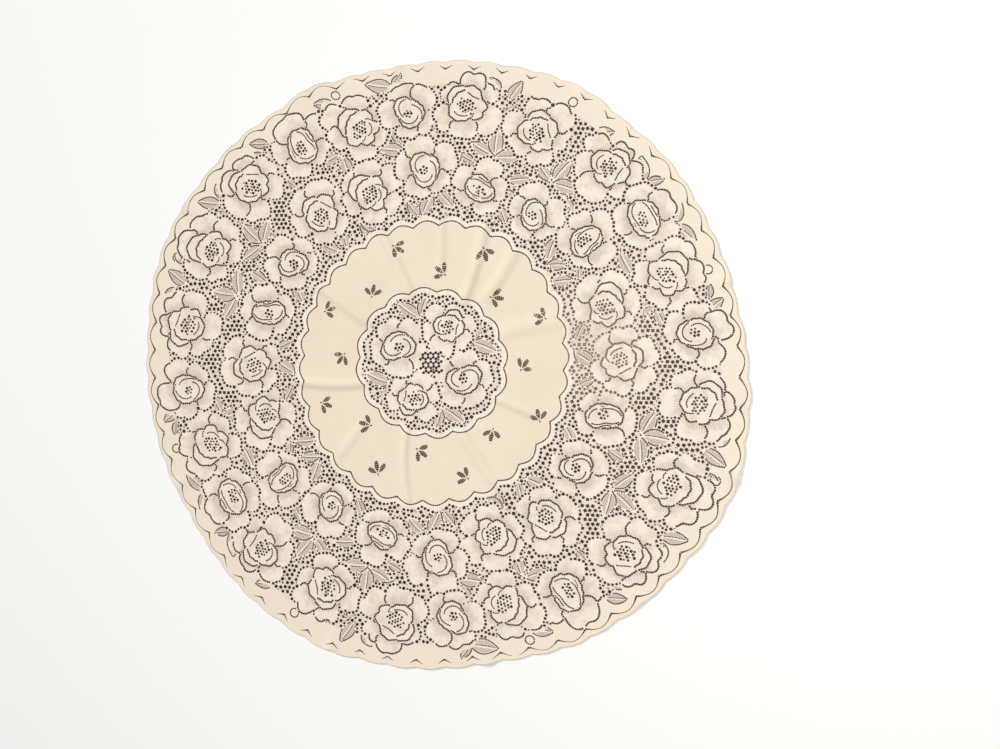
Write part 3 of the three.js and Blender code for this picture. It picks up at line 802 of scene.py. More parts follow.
def round_hole(x, y, radius, sides, turn=0.0):
    """An even outline with the given number of sides."""
    angle = turn + np.arange(sides) * 2 * math.pi / sides
    return np.stack([x + radius * np.cos(angle), y + radius * np.sin(angle)], -1)


def slit(x, y, direction, long, wide):
    """A narrow rectangle along a direction."""
    ahead, aside = ahead_and_aside(direction)
    ahead, aside, centre = ahead * long / 2, aside * wide / 2, np.array([x, y])
    corners = [centre - ahead - aside, centre + ahead - aside, centre + ahead + aside, centre - ahead + aside]
    return np.stack(corners)


def paced(path, pitch):
    """Evenly spaced places along a path, with its direction at each."""
    step = np.diff(path, axis=0)
    run = np.concatenate([[0], np.cumsum(np.hypot(step[:, 0], step[:, 1]))])
    count = max(int(run[-1] / pitch), 1)
    at = (np.arange(count) + 0.5) * run[-1] / count
    places = np.stack([np.interp(at, run, path[:, 0]), np.interp(at, run, path[:, 1])], -1)
    before = np.clip(np.searchsorted(run, at, side="right") - 1, 0, len(step) - 1)
    return places, np.arctan2(step[before, 1], step[before, 0])


def outline_path(figure, outside):
    """A figure's outline, moved outwards by the given distance."""
    if figure["figure"] == "rose":
        direction = np.linspace(0, 2 * math.pi, 360)
        return figure["centre"] + place(direction, figure["size"] * rose_reach(figure, direction) + outside)
    share = np.linspace(0, 1, 60)
    half = leaf_half_width(figure, share) + outside
    ahead, aside = ahead_and_aside(figure["angle"])
    spine = figure["root"] + np.outer(share * figure["long"], ahead)
    return np.concatenate([spine + np.outer(half, aside), (spine - np.outer(half, aside))[::-1]])


def net_lattice():
    """Places of the net's upper half, a little uneven, the roomiest first."""
    rows = math.ceil(NET_LIMIT / NET_ROW)
    columns = math.ceil(NET_LIMIT / NET_PITCH)
    row, column = np.meshgrid(np.arange(rows + 1), np.arange(-columns, columns + 1), indexing="ij")
    x = (column + np.where(row % 2, 0.5, 0)) * NET_PITCH
    points = np.stack([x, row * NET_ROW], -1).reshape(-1, 2)
    points = points[(points[:, 1] > 0) | (points[:, 0] > 0)]
    points = points + NET_STRAY * np.sin(points @ np.array([[0.31, 0.53], [0.47, -0.23]]))
    points = points[zone_room(points) > 0]
    room = np.minimum(zone_room(points), survey(points, PLAIN_LOBE)[0])
    order = np.lexsort((points[:, 0], -room))
    return points[order]


def net_turn(x, y):
    """Turn of a square net hole, a little different from place to place."""
    return math.pi / 4 + NET_TURN * math.cos(0.43 * x + 0.61 * y)


def edge_rows(row):
    """Places of the net holes that follow every figure."""
    return [paced(outline_path(figure, row["off"]), row["pitch"])[0] for figure in FIGURES]


def rim_rows():
    """Places of the net holes that follow the medallion's rim and the band's."""
    rows = []
    angle = np.linspace(0, 2 * math.pi, 900)
    for line, side in ((MEDALLION, -1), (BAND, 1)):
        path = place(angle, scalloped(line, angle) + side * (line["rim"] + RIM_ROW["off"]))
        rows.append(paced(path, RIM_ROW["pitch"])[0])
    return rows


def cut_net(cuts):
    """Net holes: the roomiest ones first, then a row along every edge, then what fits between."""
    points = net_lattice()
    roomy, others = points[: ROOMY_COUNT // 2], points[ROOMY_COUNT // 2 :]
    for x, y in np.concatenate([roomy, -roomy]):
        cuts.add(round_hole(x, y, ROOMY_CORNER, 4, net_turn(x, y)), x, y, ROOMY_CORNER / SQUARE)
    half_step = np.array([NET_PITCH / 2, NET_ROW / 2])
    between = np.concatenate([others, points + half_step])
    candidates = [*edge_rows(EDGE_ROW), *rim_rows(), between, -between, *edge_rows(TIGHT_ROW)]
    candidates = np.concatenate(candidates)
    candidates += NET_HOLE["stray"] * np.sin(candidates @ np.array([[1.31, 2.53], [2.47, -1.23]]))
    candidates = candidates[zone_room(candidates) >= NET_HOLE["room"]]
    rooms = np.minimum(zone_room(candidates), survey(candidates)[0])
    for (x, y), own in zip(candidates, rooms):
        if own < NET_HOLE["room"]:
            continue
        half = NET_HOLE["half"] + NET_HOLE["uneven"] * ripple(x, y, 1)
        radius = min(half, own - NET_HOLE["off"], cuts.room(x, y) - BAR)
        if radius > NET_HOLE["least"]:
            cuts.add(round_hole(x, y, SQUARE * radius, 4, net_turn(x, y)), x, y, radius)


def owned(places, number):
    """Which places lie well inside the given figure."""
    nearest, owner = survey(places)
    return (owner == number) & (nearest < -OWN_MARGIN)


def cut_slits(cuts, places, direction, kind, shown=None):
    """A row of slits, each left out where it's hidden or would break a bar."""
    look = LINES[kind]
    cuts.line += 1
    for i, ((x, y), turn) in enumerate(zip(places, direction)):
        if (shown is None or shown[i]) and cuts.room(x, y) > look["long"] / 2 - SLIT["tuck"] + THIN_BAR:
            long = look["long"] * (1 + SLIT["long_uneven"] * ripple(x, y, 5))
            wide = look["wide"] * (1 + SLIT["wide_uneven"] * ripple(x, y, 6))
            cuts.add(slit(x, y, turn, long, wide), x, y, look["long"] * SLIT["core"], cuts.line)


def cut_line(cuts, path, kind, number=None):
    """A row of slits along a path, within the given figure if there is one."""
    places, direction = paced(path, LINES[kind]["pitch"])
    cut_slits(cuts, places, direction, kind, None if number is None else owned(places, number))


def around(rose, direction, radius):
    """Path from directions and radii about a rose's heart, radii as shares of its size."""
    return rose["centre"] + place(rose["turn"] + direction, rose["size"] * radius)


def arc(start, end, count=50):
    """Even steps from one value to another."""
    return np.linspace(start, end, count)


def whorl_rows(rose):
    """The edges of a rose's own form."""
    return [row for row in WHORLS if row["form"] == rose["form"]]


def whorl_arc(rose, row, share):
    """Directions and radii along the edge of one inner petal."""
    direction = np.radians(row["from"] + (row["to"] - row["from"]) * share)
    radius = row["inner"] + (row["outer"] - row["inner"]) * share + row["bulge"] * np.sin(math.pi * share)
    form = FORMS[rose["form"]]
    oval = 1 + form["oval"] * np.cos(2 * direction + 0.4 * math.sin(rose["sway"]))
    double, triple = 2 * direction + 5 * rose["sway"], 3 * direction + 2 * rose["sway"]
    sway = WHORL_SWAY * np.sin(double) + WHORL_SWAY * np.sin(triple)
    return direction, radius * form["scale"] * (oval + sway)


def whorl_edge(rose, direction):
    """How far out the inner petals reach in each direction."""
    edge = np.full_like(direction, WHORL_LEAST)
    for row in whorl_rows(rose):
        share = (np.degrees(direction) - row["from"]) % 360 / (row["to"] - row["from"])
        edge = np.where(share <= 1, np.maximum(edge, whorl_arc(rose, row, share)[1]), edge)
    return edge


def cut_rose(cuts, number, rose):
    """The curled inner petals as overlapping arcs, the heart, and the lines between the outer petals."""
    for row in whorl_rows(rose):
        direction, radius = whorl_arc(rose, row, arc(0, 1, 40))
        if row["line"] == "bold":
            radius = radius + WHORL_RUFFLE * np.sin(13 * direction + rose["sway"])
        cut_line(cuts, around(rose, direction, radius), row["line"], number)
    cut_heart(cuts, number, rose)
    for i in range(rose["petals"]):
        cut_petal_side(cuts, number, rose, i)


def cut_petal_side(cuts, number, rose, i):
    """The line between two petals, from the whorl to the notch in the outline."""
    clear = PETAL_SIDE["clear"]
    between = arc(petal_middle(rose, i) + clear, petal_middle(rose, i + 1) - clear, 25)
    valley = between[np.argmin(rose_reach(rose, between))]
    reach = float(rose_reach(rose, np.array([valley]))[0]) - PETAL_SIDE["from_notch"]
    run = arc(0, 1, 20)
    side = 1 if math.sin(2.1 * i + 3 * rose["sway"]) > 0 else -1
    off = PETAL_SIDE["bend"] * np.sin(math.pi * run) + PETAL_SIDE["lean"] * (1 - run)
    bend = valley - rose["turn"] + side * off
    inner = whorl_edge(rose, bend[:1])[0] + PETAL_SIDE["from_whorl"]
    cut_line(cuts, around(rose, bend, inner + (reach - inner) * run), "bold", number)


def cut_heart(cuts, number, rose):
    """Cluster of small holes at a rose's heart."""
    pitch, squash = HEART["pitch"], FORMS[rose["form"]]["squash"]
    reach = FORMS[rose["form"]]["reach"] * rose["size"]
    aside_turn = np.float64(rose["turn"] + HEART["aside_turn"])
    middle = rose["centre"] + place(aside_turn, rose["size"] * HEART["aside"])
    count = int(reach / pitch) + 2
    for row in range(-count, count + 1):
        for column in range(-count, count + 1):
            x = (column + 0.5 * (row % 2)) * pitch
            y = row * pitch * HEART["row_pitch"]
            if math.hypot(x * squash, y / squash) > reach:
                continue
            px, py = middle + place(np.float64(rose["turn"] + math.atan2(y, x)), math.hypot(x, y))
            px, py = px + HEART["stray"] * ripple(px, py, 3), py + HEART["stray"] * ripple(py, px, 4)
            half = HEART["half"] + HEART["uneven"] * ripple(px, py, 7)
            radius = min(half, cuts.room(px, py) - HEART["bar"])
            if radius > NET_HOLE["least"] and owned(np.array([[px, py]]), number)[0]:
                cuts.add(round_hole(px, py, SQUARE * radius, 4, 3 * ripple(px, py, 8)), px, py, radius)


def cut_outline(cuts, number, figure):
    """The line of slits round a leaf, and round petals where they meet solid clothwork."""
    kind = "bold" if figure["figure"] == "rose" else "line"
    places, direction = paced(outline_path(figure, -OUTLINE["inset"]), LINES[kind]["pitch"])
    shown = owned(places, number)
    if figure["figure"] == "rose":
        beside = places + (places - figure["centre"]) / figure["size"] * OUTLINE["beside"]
        nearest, _ = survey(beside)
        shown &= (zone_room(beside) < OUTLINE["solid_room"]) | (nearest < 0)
    angle, radius = polar(places)
    shown &= radius < scalloped(BORDER, angle) - OUTLINE["off_border"]
    cut_slits(cuts, places, direction, kind, shown)


def cut_midrib(cuts, number, leaf):
    """The fine line along the middle of a leaf."""
    share = arc(MIDRIB["from"], MIDRIB["to"], 20)
    ahead, aside = ahead_and_aside(leaf["angle"])
    sway = MIDRIB["sway"] * leaf["broad"] * np.sin(math.pi * share)
    path = leaf["root"] + np.outer(share * leaf["long"], ahead) + np.outer(sway, aside)
    cut_line(cuts, path, "fine", number)


def cut_border(cuts):
    """The outer scallop line: boldest in its hollows, and on two sides of the cloth there alone."""
    angle = np.linspace(0, 2 * math.pi, 4000)
    places, direction = paced(place(angle, scalloped(BORDER, angle)), LINES["bold"]["pitch"])
    at, radius = polar(places)
    depth = (BORDER["radius"] - radius) / BORDER["depth"]
    strength = 0.5 + 0.5 * np.cos(2 * (at - math.radians(BORDER_STRONG)))
    width = BORDER_SLIT["least"] + BORDER_SLIT["strong"] * strength + BORDER_SLIT["hollow"] * depth**2
    width = np.minimum(width, BORDER_SLIT["most"])
    cuts.line += 1
    for (x, y), turn, wide in zip(places, direction, width):
        if cuts.room(x, y) > BORDER_SLIT["bar"] and wide > BORDER_SLIT["shown"]:
            cuts.add(slit(x, y, turn, LINES["bold"]["long"], wide), x, y, BORDER_SLIT["core"], cuts.line)


def cut_sprigs(cuts):
    """Three-leaved sprigs of narrow cross slits, in the plain band."""
    for row in SPRIGS:
        root = place(np.float64(math.radians(row["at"])), row["out"])
        middle = math.radians(row["turn"])
        for i in range(3):
            turn = middle + math.radians(SPRIG_LEAF["fan"]) * (i - 1)
            cut_sprig_leaf(cuts, root, turn, SPRIG_LEAF["long"] * (SPRIG_MIDDLE if i == 1 else 1.0))
        back, _ = ahead_and_aside(middle + math.pi)
        x, y = root + back * SPRIG_STEM["back"]
        cuts.add(slit(x, y, middle, SPRIG_STEM["long"], SPRIG_STEM["wide"]), x, y, SPRIG_CORE)


def cut_sprig_leaf(cuts, root, turn, long):
    """One leaf of a sprig: short cross slits whose width draws the leaf, clear of the next leaf's."""
    ahead, _ = ahead_and_aside(turn)
    steps = SPRIG_LEAF["steps"]
    gap = math.tan(math.radians(SPRIG_LEAF["fan"] / 2))
    cuts.line += 1
    for step in range(steps):
        share = (step + 0.5) / steps
        out = SPRIG_LEAF["off"] + share * long
        between = 2 * (out - 0.5 * long / steps) * gap - SPRIG_LEAF["apart"]
        wide = min(SPRIG_LEAF["broad"] * math.sin(math.pi * (0.1 + 0.8 * share)) ** 0.6, between)
        x, y = root + ahead * out
        cuts.add(slit(x, y, turn, long / steps - SPRIG_LEAF["bar"], wide), x, y, SPRIG_CORE, cuts.line)


def cut_honeycomb(cuts):
    """The patch in the very middle: solid dots joined by fine threads, with a gap between every three."""
    turn = math.radians(HONEYCOMB["turn"])
    spin = np.array([[math.cos(turn), math.sin(turn)], [-math.sin(turn), math.cos(turn)]])
    pitch, high = HONEYCOMB["pitch"], HONEYCOMB["row_pitch"]
    upward = np.array([[0, 0], [pitch, 0], [pitch / 2, high]])
    downward = np.array([[pitch / 2, high], [pitch, 0], [1.5 * pitch, high]])
    rows, columns = HONEYCOMB["rows"], HONEYCOMB["columns"]
    for row in range(rows):
        for column in range(columns):
            low = np.array([(column - columns / 2 - 0.5 * (row % 2)) * pitch, (row - rows / 2) * high])
            for dots in (upward, downward):
                gap = gap_between(low + dots) @ spin
                x, y = gap.mean(0)
                cuts.add(gap, x, y, HONEYCOMB["core"])


def gap_between(dots):
    """The gap between three dots, with room for the dots themselves and for the threads along its sides."""
    corners = []
    for start, end in zip(dots, np.roll(dots, -1, axis=0)):
        ahead = (end - start) / np.hypot(*(end - start))
        inwards = np.array([-ahead[1], ahead[0]]) * HONEYCOMB["thread"] / 2
        corners.append(start + ahead * HONEYCOMB["dot"] + inwards)
        corners.append(end - ahead * HONEYCOMB["dot"] + inwards)
    return np.array(corners)


def cut_loops(cuts):
    """The small loops of stem outside the outer roses."""
    angle = np.linspace(0, 2 * math.pi, 40)
    for half in HALVES:
        for row in LOOPS:
            centre = place(np.float64(math.radians(row["at"]) + half), row["out"])
            cut_line(cuts, centre + place(angle, np.full(40, LOOP_RADIUS)), "line")


def make_cuts():
    """All holes of the lace, the widest first, so that the finer ones keep clear of them."""
    cuts = Cuts()
    cut_honeycomb(cuts)
    cut_net(cuts)
    angle = np.linspace(0, 2 * math.pi, 2400)
    cut_line(cuts, place(angle, scalloped(MEDALLION, angle)), "line")
    cut_line(cuts, place(angle, scalloped(BAND, angle)), "line")
    cut_border(cuts)
    for number, figure in enumerate(FIGURES):
        if figure["figure"] == "rose":
            cut_rose(cuts, number, figure)
        else:
            cut_midrib(cuts, number, figure)
        cut_outline(cuts, number, figure)
    cut_loops(cuts)
    cut_sprigs(cuts)
    return cuts


# The sheet: one flat net of triangles for the whole pattern, then lifted and given its thickness


def filler_points():
    """Places that carry the creases, puckers and gentle waves where no hole is near."""
    spots = []
    for row in CREASES:
        radii = np.arange(row["out"] - CREASE_FADE, row["to_out"] + CREASE_FADE, FILLER["along"])
        for share in np.linspace(-1, 1, FILLER["across_crease"]):
            spots.append(place(crease_angle(row, radii) + share * row["half"] / radii, radii))
    for row in PUCKERS:
        radii = np.arange(PUCKER_START, EDGE_RADIUS - FILLER["pucker_off_hem"], FILLER["along"])
        for share in np.linspace(-1, 1, FILLER["across_pucker"]):
            spots.append(place(math.radians(row["at"]) + share * row["half"] / radii, radii))
    step = FILLER["grid"]
    columns = math.ceil(EDGE_RADIUS / step) + 1
    rows = math.ceil(EDGE_RADIUS / (step * TRIANGLE_ROW)) + 1
    column, row = np.meshgrid(np.arange(-columns, columns + 1), np.arange(-rows, rows + 1))
    even = np.stack([(column + 0.5 * (row % 2)) * step, row * step * TRIANGLE_ROW], -1).reshape(-1, 2)
    spots.append(even[polar(even)[1] < EDGE_RADIUS - FILLER["off_hem"]])
    return np.concatenate(spots)


def flat_triangles(cuts):
    """The flat lace without its holes, the points whose walls go to the face, and the bars of the lines."""
    hem = hem_line()
    filler = filler_points()
    filler = filler[[cuts.room(x, y) > FILLER["room"] for x, y in filler]]
    points = np.concatenate([hem, *cuts.outlines, filler])
    counts = [len(hem)] + [len(outline) for outline in cuts.outlines]
    ends = np.cumsum(counts)
    loops = [list(range(end - count, end)) for end, count in zip(ends, counts)]
    flat = [Vector(p) for p in points.tolist()]
    places, _, faces, _, _, sources = delaunay_2d_cdt(flat, [], loops, 1, 1e-4, True)
    triangles = np.array([face for face, source in zip(faces, sources) if list(source) == [0]])
    is_wide = [True] + [area_within(outline) > WIDE_HOLE for outline in cuts.outlines]
    wide = np.zeros(len(places), bool)
    wide[: ends[-1]] = np.repeat(is_wide, counts)
    return np.array([p[:] for p in places]), triangles, wide, line_bars(cuts, triangles, len(hem))


def line_bars(cuts, triangles, first):
    """Which triangles are the thin threads between two neighbouring slits of one line."""
    hole = np.repeat(np.arange(len(cuts.outlines)), [len(outline) for outline in cuts.outlines])
    inside = ((triangles >= first) & (triangles < first + len(hole))).all(1)
    holes = hole[np.clip(triangles - first, 0, len(hole) - 1)]
    line = np.array(cuts.lines)[holes]
    return inside & (line[:, 0] > 0) & (np.ptp(line, axis=1) == 0) & (np.ptp(holes, axis=1) == 1)


def area_within(outline):
    """Area within a closed outline, in square millimetres."""
    x, y = outline[:, 0], outline[:, 1]
    return abs(np.dot(x, np.roll(y, -1)) - np.dot(y, np.roll(x, -1))) / 2


def open_edges(triangles):
    """Directed edges that only one triangle has, with that triangle's number."""
    ends = np.concatenate([triangles[:, [0, 1]], triangles[:, [1, 2]], triangles[:, [2, 0]]])
    number = np.tile(np.arange(len(triangles)), 3)
    key = np.sort(ends, 1)
    code = key[:, 0].astype(np.int64) * (triangles.max() + 1) + key[:, 1]
    _, inverse, count = np.unique(code, return_inverse=True, return_counts=True)
    single = count[inverse] == 1
    return ends[single], number[single]


def wave(points):
    """Very low waves of a cloth that lies loose, never under the surface."""
    x, y = points[:, 0], points[:, 1]
    long_wave = np.sin(x / 47 + 1.3 * np.sin(y / 83)) * np.sin(y / 39 + 0.7 * np.sin(x / 71 + 2))
    short_wave = np.sin(x / 17 + y / 29) * np.sin(y / 15 - x / 31)
    return WAVE["mean"] + WAVE["long"] * long_wave + WAVE["short"] * short_wave


def local_places(corners, owner):
    """Each triangle's corners in the frame of its own figure, for the materials."""
    local = corners * PLAIN_MAP
    for number, figure in enumerate(FIGURES):
        mine = owner == number
        if not mine.any():
            continue
        if figure["figure"] == "rose":
            offset = (corners[mine] - figure["centre"]) / figure["size"]
            c, s = math.cos(-figure["turn"]), math.sin(-figure["turn"])
            local[mine] = offset @ np.array([[c, s], [-s, c]])
        else:
            along, across = leaf_places(figure, corners[mine])
            local[mine] = np.stack([along, across / figure["broad"]], -1)
    return local


def figure_kinds(centroid):
    """What each triangle belongs to, and the number of its own figure."""
    nearest, owner = survey(centroid)
    owner = np.where(nearest < 0, owner, -1)
    kind = np.where(owner < 0, KIND["cloth"], np.where(owner < len(ROSES), KIND["petal"], KIND["leaf"]))
    angle, radius = polar(centroid)
    kind = np.where((owner < 0) & (radius > scalloped(BAND, angle)) & (radius < NET_LIMIT), KIND["net"], kind)
    kind = np.where((owner < 0) & (radius < scalloped(MEDALLION, angle)), KIND["net"], kind)
    kind = np.where((kind == KIND["net"]) & (zone_room(centroid) < -RIM_START), KIND["rim"], kind)
    for number, rose in enumerate(ROSES):
        mine = np.flatnonzero(owner == number)
        direction, out = polar(centroid[mine] - rose["centre"])
        inside = out < rose["size"] * whorl_edge(rose, direction - rose["turn"])
        kind[mine[inside]] = KIND["whorl"]
    return np.where(radius > scalloped(BORDER, angle), KIND["cloth"], kind), owner


def lace_pieces(material):
    """The face with the walls of its wider holes, and the back with the walls of the slits."""
    flat, triangles, wide, bars = flat_triangles(make_cuts())
    centroid = flat[triangles].mean(1)
    kind, owner = figure_kinds(centroid)
    kind = np.where(bars, KIND["thread"], kind)
    local = local_places(flat[triangles], owner)
    low = np.column_stack([centred(flat), lift(flat) + wave(flat)]) * MM
    high = low + np.array([0, 0, THICKNESS * MM])
    edges, beside = open_edges(triangles)
    walls = wide[edges].all(1)
    face = lace_piece("lace_face", high, low, triangles, edges[walls], beside[walls], local, kind, material)
    turned, turned_local = triangles[:, ::-1], local[:, ::-1]
    others = edges[~walls][:, ::-1]
    back = lace_piece("lace_back", low, high, turned, others, beside[~walls], turned_local, kind, material)
    return face, back


def lace_piece(name, own, other, triangles, edges, beside, local, kind, material):
    """One side of the lace, with walls from the given edges to the other side."""
    used, index = np.unique(triangles.ravel(), return_inverse=True)
    top = index.reshape(-1, 3)
    place_of = np.full(len(own), -1)
    place_of[used] = np.arange(len(used))
    rims, rim_index = np.unique(edges.ravel(), return_inverse=True)
    rim = rim_index.reshape(-1, 2) + len(used)
    edge = place_of[edges]
    walls = np.stack([edge[:, 1], edge[:, 0], rim[:, 0], rim[:, 1]], 1)
    spots = np.concatenate([own[used], other[rims]])
    loops = np.concatenate([top.ravel(), walls.ravel()])
    sizes = np.concatenate([np.full(len(top), 3), np.full(len(walls), 4)])
    mesh = mesh_of_faces(name, spots, loops, sizes)

    # A wall's corners have the map places of the triangle beside it
    same = [triangles[beside] == edges[:, [end]] for end in (1, 0, 0, 1)]
    wall_local = [local[beside][np.arange(len(edge)), corner.argmax(1)] for corner in same]
    figure_places = np.concatenate([local.reshape(-1, 2), np.stack(wall_local, 1).reshape(-1, 2)])
    add_map(mesh, "figure", figure_places)

    # The walls of the face are spread to one side on the bake map, and those of the back to the other
    step = own[edges[:, 1], :2] - own[edges[:, 0], :2]
    side = 1 if own[0, 2] > other[0, 2] else -1
    add_map(mesh, "OFBake", bake_places(spots[loops][:, :2], top.size, side * step))
    add_kinds(mesh, np.concatenate([kind, kind[beside]]))
    mesh.set_sharp_from_angle(angle=math.radians(SHARP_ANGLE))
    mesh.materials.append(material)
    return add_object(name, mesh)


def mesh_of_faces(name, spots, loops, sizes):
    """A mesh from its places, the corners of all its faces in a row, and each face's number of corners."""
    mesh = bpy.data.meshes.new(name)
    mesh.vertices.add(len(spots))
    mesh.vertices.foreach_set("co", spots.ravel())
    mesh.loops.add(len(loops))
    mesh.loops.foreach_set("vertex_index", loops.astype(np.int32))
    mesh.polygons.add(len(sizes))
    mesh.polygons.foreach_set("loop_start", np.concatenate([[0], np.cumsum(sizes)[:-1]]).astype(np.int32))
    mesh.update(calc_edges=True)
    mesh.validate()
    return mesh


def bake_places(corners, first, step):
    """The sheet seen from above, with its walls, from the given corner on, a little off their edges."""
    lowest, size = corners.min(0), np.ptp(corners, axis=0)
    places = BAKE_MARGIN + (1 - 2 * BAKE_MARGIN) * (corners - lowest) / size
    away = np.stack([step[:, 1], -step[:, 0]], 1) / np.maximum(np.hypot(*step.T), 1e-9)[:, None]
    places[first:].reshape(-1, 4, 2)[:, 2:] += (away * WALL_SHARE * MM / size)[:, None]
    return np.clip(places, BAKE_LIMIT, 1 - BAKE_LIMIT)


def add_map(mesh, name, places):
    """Gives a mesh a map with a place for each corner of its faces."""
    mesh.uv_layers.new(name=name).uv.foreach_set("vector", places.ravel().astype(np.float32))


def add_kinds(mesh, kinds):
    """Tells the material what each face belongs to, and shades the faces smooth."""
    attribute = mesh.attributes.new("figure_kind", "FLOAT", "FACE")
    attribute.data.foreach_set("value", kinds.astype(np.float32))
    mesh.polygons.foreach_set("use_smooth", np.ones(len(mesh.polygons), bool))


def add_object(name, data):
    made = bpy.data.objects.new(name, data)
    bpy.context.collection.objects.link(made)
    return made


# Overcast stitches along the hem


class Tree:
    """Small helper that builds a geometry node tree with named inputs."""

    def __init__(self, name, inputs):
        self.tree = bpy.data.node_groups.new(name, "GeometryNodeTree")
        self.keys = {}
        self.tree.interface.new_socket("Geometry", in_out="INPUT", socket_type="NodeSocketGeometry")
        for label, kind in inputs.items():
            socket = self.tree.interface.new_socket(label, in_out="INPUT", socket_type="NodeSocket" + kind)
            self.keys[label] = socket.identifier
        self.tree.interface.new_socket("Geometry", in_out="OUTPUT", socket_type="NodeSocketGeometry")
        self.start = self.tree.nodes.new("NodeGroupInput").outputs

    def add(self, kind, inputs, **settings):
        node = self.tree.nodes.new(kind)
        for key, value in settings.items():
            setattr(node, key, value)
        for key, value in inputs.items():
            if isinstance(value, bpy.types.NodeSocket):
                self.tree.links.new(value, node.inputs[key])
            else:
                node.inputs[key].default_value = value
        return node


def stitch_tree():
    """Slanted stitches on a path: evenly spaced small spindles, a little uneven in slant and length."""
    sizes = {label: "Float" for label in ("Pitch", "Long", "Wide", "High", "Slant", "Uneven")}
    tree = Tree("overcast_stitches", {**sizes, "Seed": "Int", "Thread": "Material"})
    start = tree.start
    path = tree.add("GeometryNodeMeshToCurve", {"Mesh": start["Geometry"]})
    spacing = {"Curve": path.outputs[0], "Length": start["Pitch"]}
    points = tree.add("GeometryNodeCurveToPoints", spacing, mode="LENGTH")
    facing = tree.add("FunctionNodeAlignRotationToVector", {"Vector": points.outputs["Tangent"]}, axis="X")
    upward = {"Rotation": facing.outputs[0], "Vector": (0.0, 0.0, 1.0)}
    upright = tree.add("FunctionNodeAlignRotationToVector", upward, axis="Z", pivot_axis="X")
    less = tree.add("ShaderNodeMath", {0: 1.0, 1: start["Uneven"]}, operation="SUBTRACT")
    more = tree.add("ShaderNodeMath", {0: 1.0, 1: start["Uneven"]}, operation="ADD")
    limits = {2: less.outputs[0], 3: more.outputs[0], "Seed": start["Seed"]}
    vary = tree.add("FunctionNodeRandomValue", limits)
    slant = tree.add("ShaderNodeMath", {0: start["Slant"], 1: vary.outputs[1]}, operation="MULTIPLY")
    lean = tree.add("ShaderNodeCombineXYZ", {"Z": slant.outputs[0]})
    turned = tree.add("FunctionNodeEulerToRotation", {0: lean.outputs[0]})
    rotation = tree.add(
        "FunctionNodeRotateRotation", {0: upright.outputs[0], 1: turned.outputs[0]}, rotation_space="LOCAL"
    )
    long = tree.add("ShaderNodeMath", {0: start["Long"], 1: vary.outputs[1]}, operation="MULTIPLY")
    scale = tree.add("ShaderNodeCombineXYZ", {"X": start["Wide"], "Y": long.outputs[0], "Z": start["High"]})
    spindle = tree.add("GeometryNodeMeshUVSphere", {"Segments": 6, "Rings": 5, "Radius": 0.5})
    stitches = tree.add(
        "GeometryNodeInstanceOnPoints",
        {
            "Points": points.outputs["Points"],
            "Instance": spindle.outputs["Mesh"],
            "Rotation": rotation.outputs[0],
            "Scale": scale.outputs[0],
        },
    )
    real = tree.add("GeometryNodeRealizeInstances", {0: stitches.outputs[0]})
    made = tree.add("GeometryNodeSetMaterial", {0: real.outputs[0], "Material": start["Thread"]})
    tree.add("NodeGroupOutput", {0: made.outputs[0]})
    return tree


def hem_stitches(material):
    """The fine overcasting of the hem, as one plain mesh."""
    flat = hem_line(STITCH["inset"])
    height = np.maximum(lift(flat) + wave(flat) + THICKNESS / 2, STITCH_LOWEST * STITCH["high"])
    spots = np.column_stack([centred(flat), height]) * MM
    count = len(spots)
    path = bpy.data.meshes.new("hem_path")
    path.from_pydata(spots.tolist(), [(i, (i + 1) % count) for i in range(count)], [])
    hem = add_object("hem_path", path)
    tree = stitch_tree()
    modifier = hem.modifiers.new("overcast_stitches", "NODES")
    modifier.node_group = tree.tree
    for label in ("Pitch", "Long", "Wide", "High"):
        modifier[tree.keys[label]] = STITCH[label.lower()] * MM
    modifier[tree.keys["Slant"]] = math.radians(STITCH["slant"])
    modifier[tree.keys["Uneven"]] = STITCH["uneven"]
    modifier[tree.keys["Seed"]] = STITCH_SEED
    modifier[tree.keys["Thread"]] = material
    evaluated = hem.evaluated_get(bpy.context.evaluated_depsgraph_get())
    mesh = bpy.data.meshes.new_from_object(evaluated)
    hem.modifiers.remove(modifier)
    bpy.data.objects.remove(hem)
    mesh.name = "hem_stitches"
    add_kinds(mesh, np.full(len(mesh.polygons), KIND["hem"]))
    return add_object("hem_stitches", mesh)


# Materials


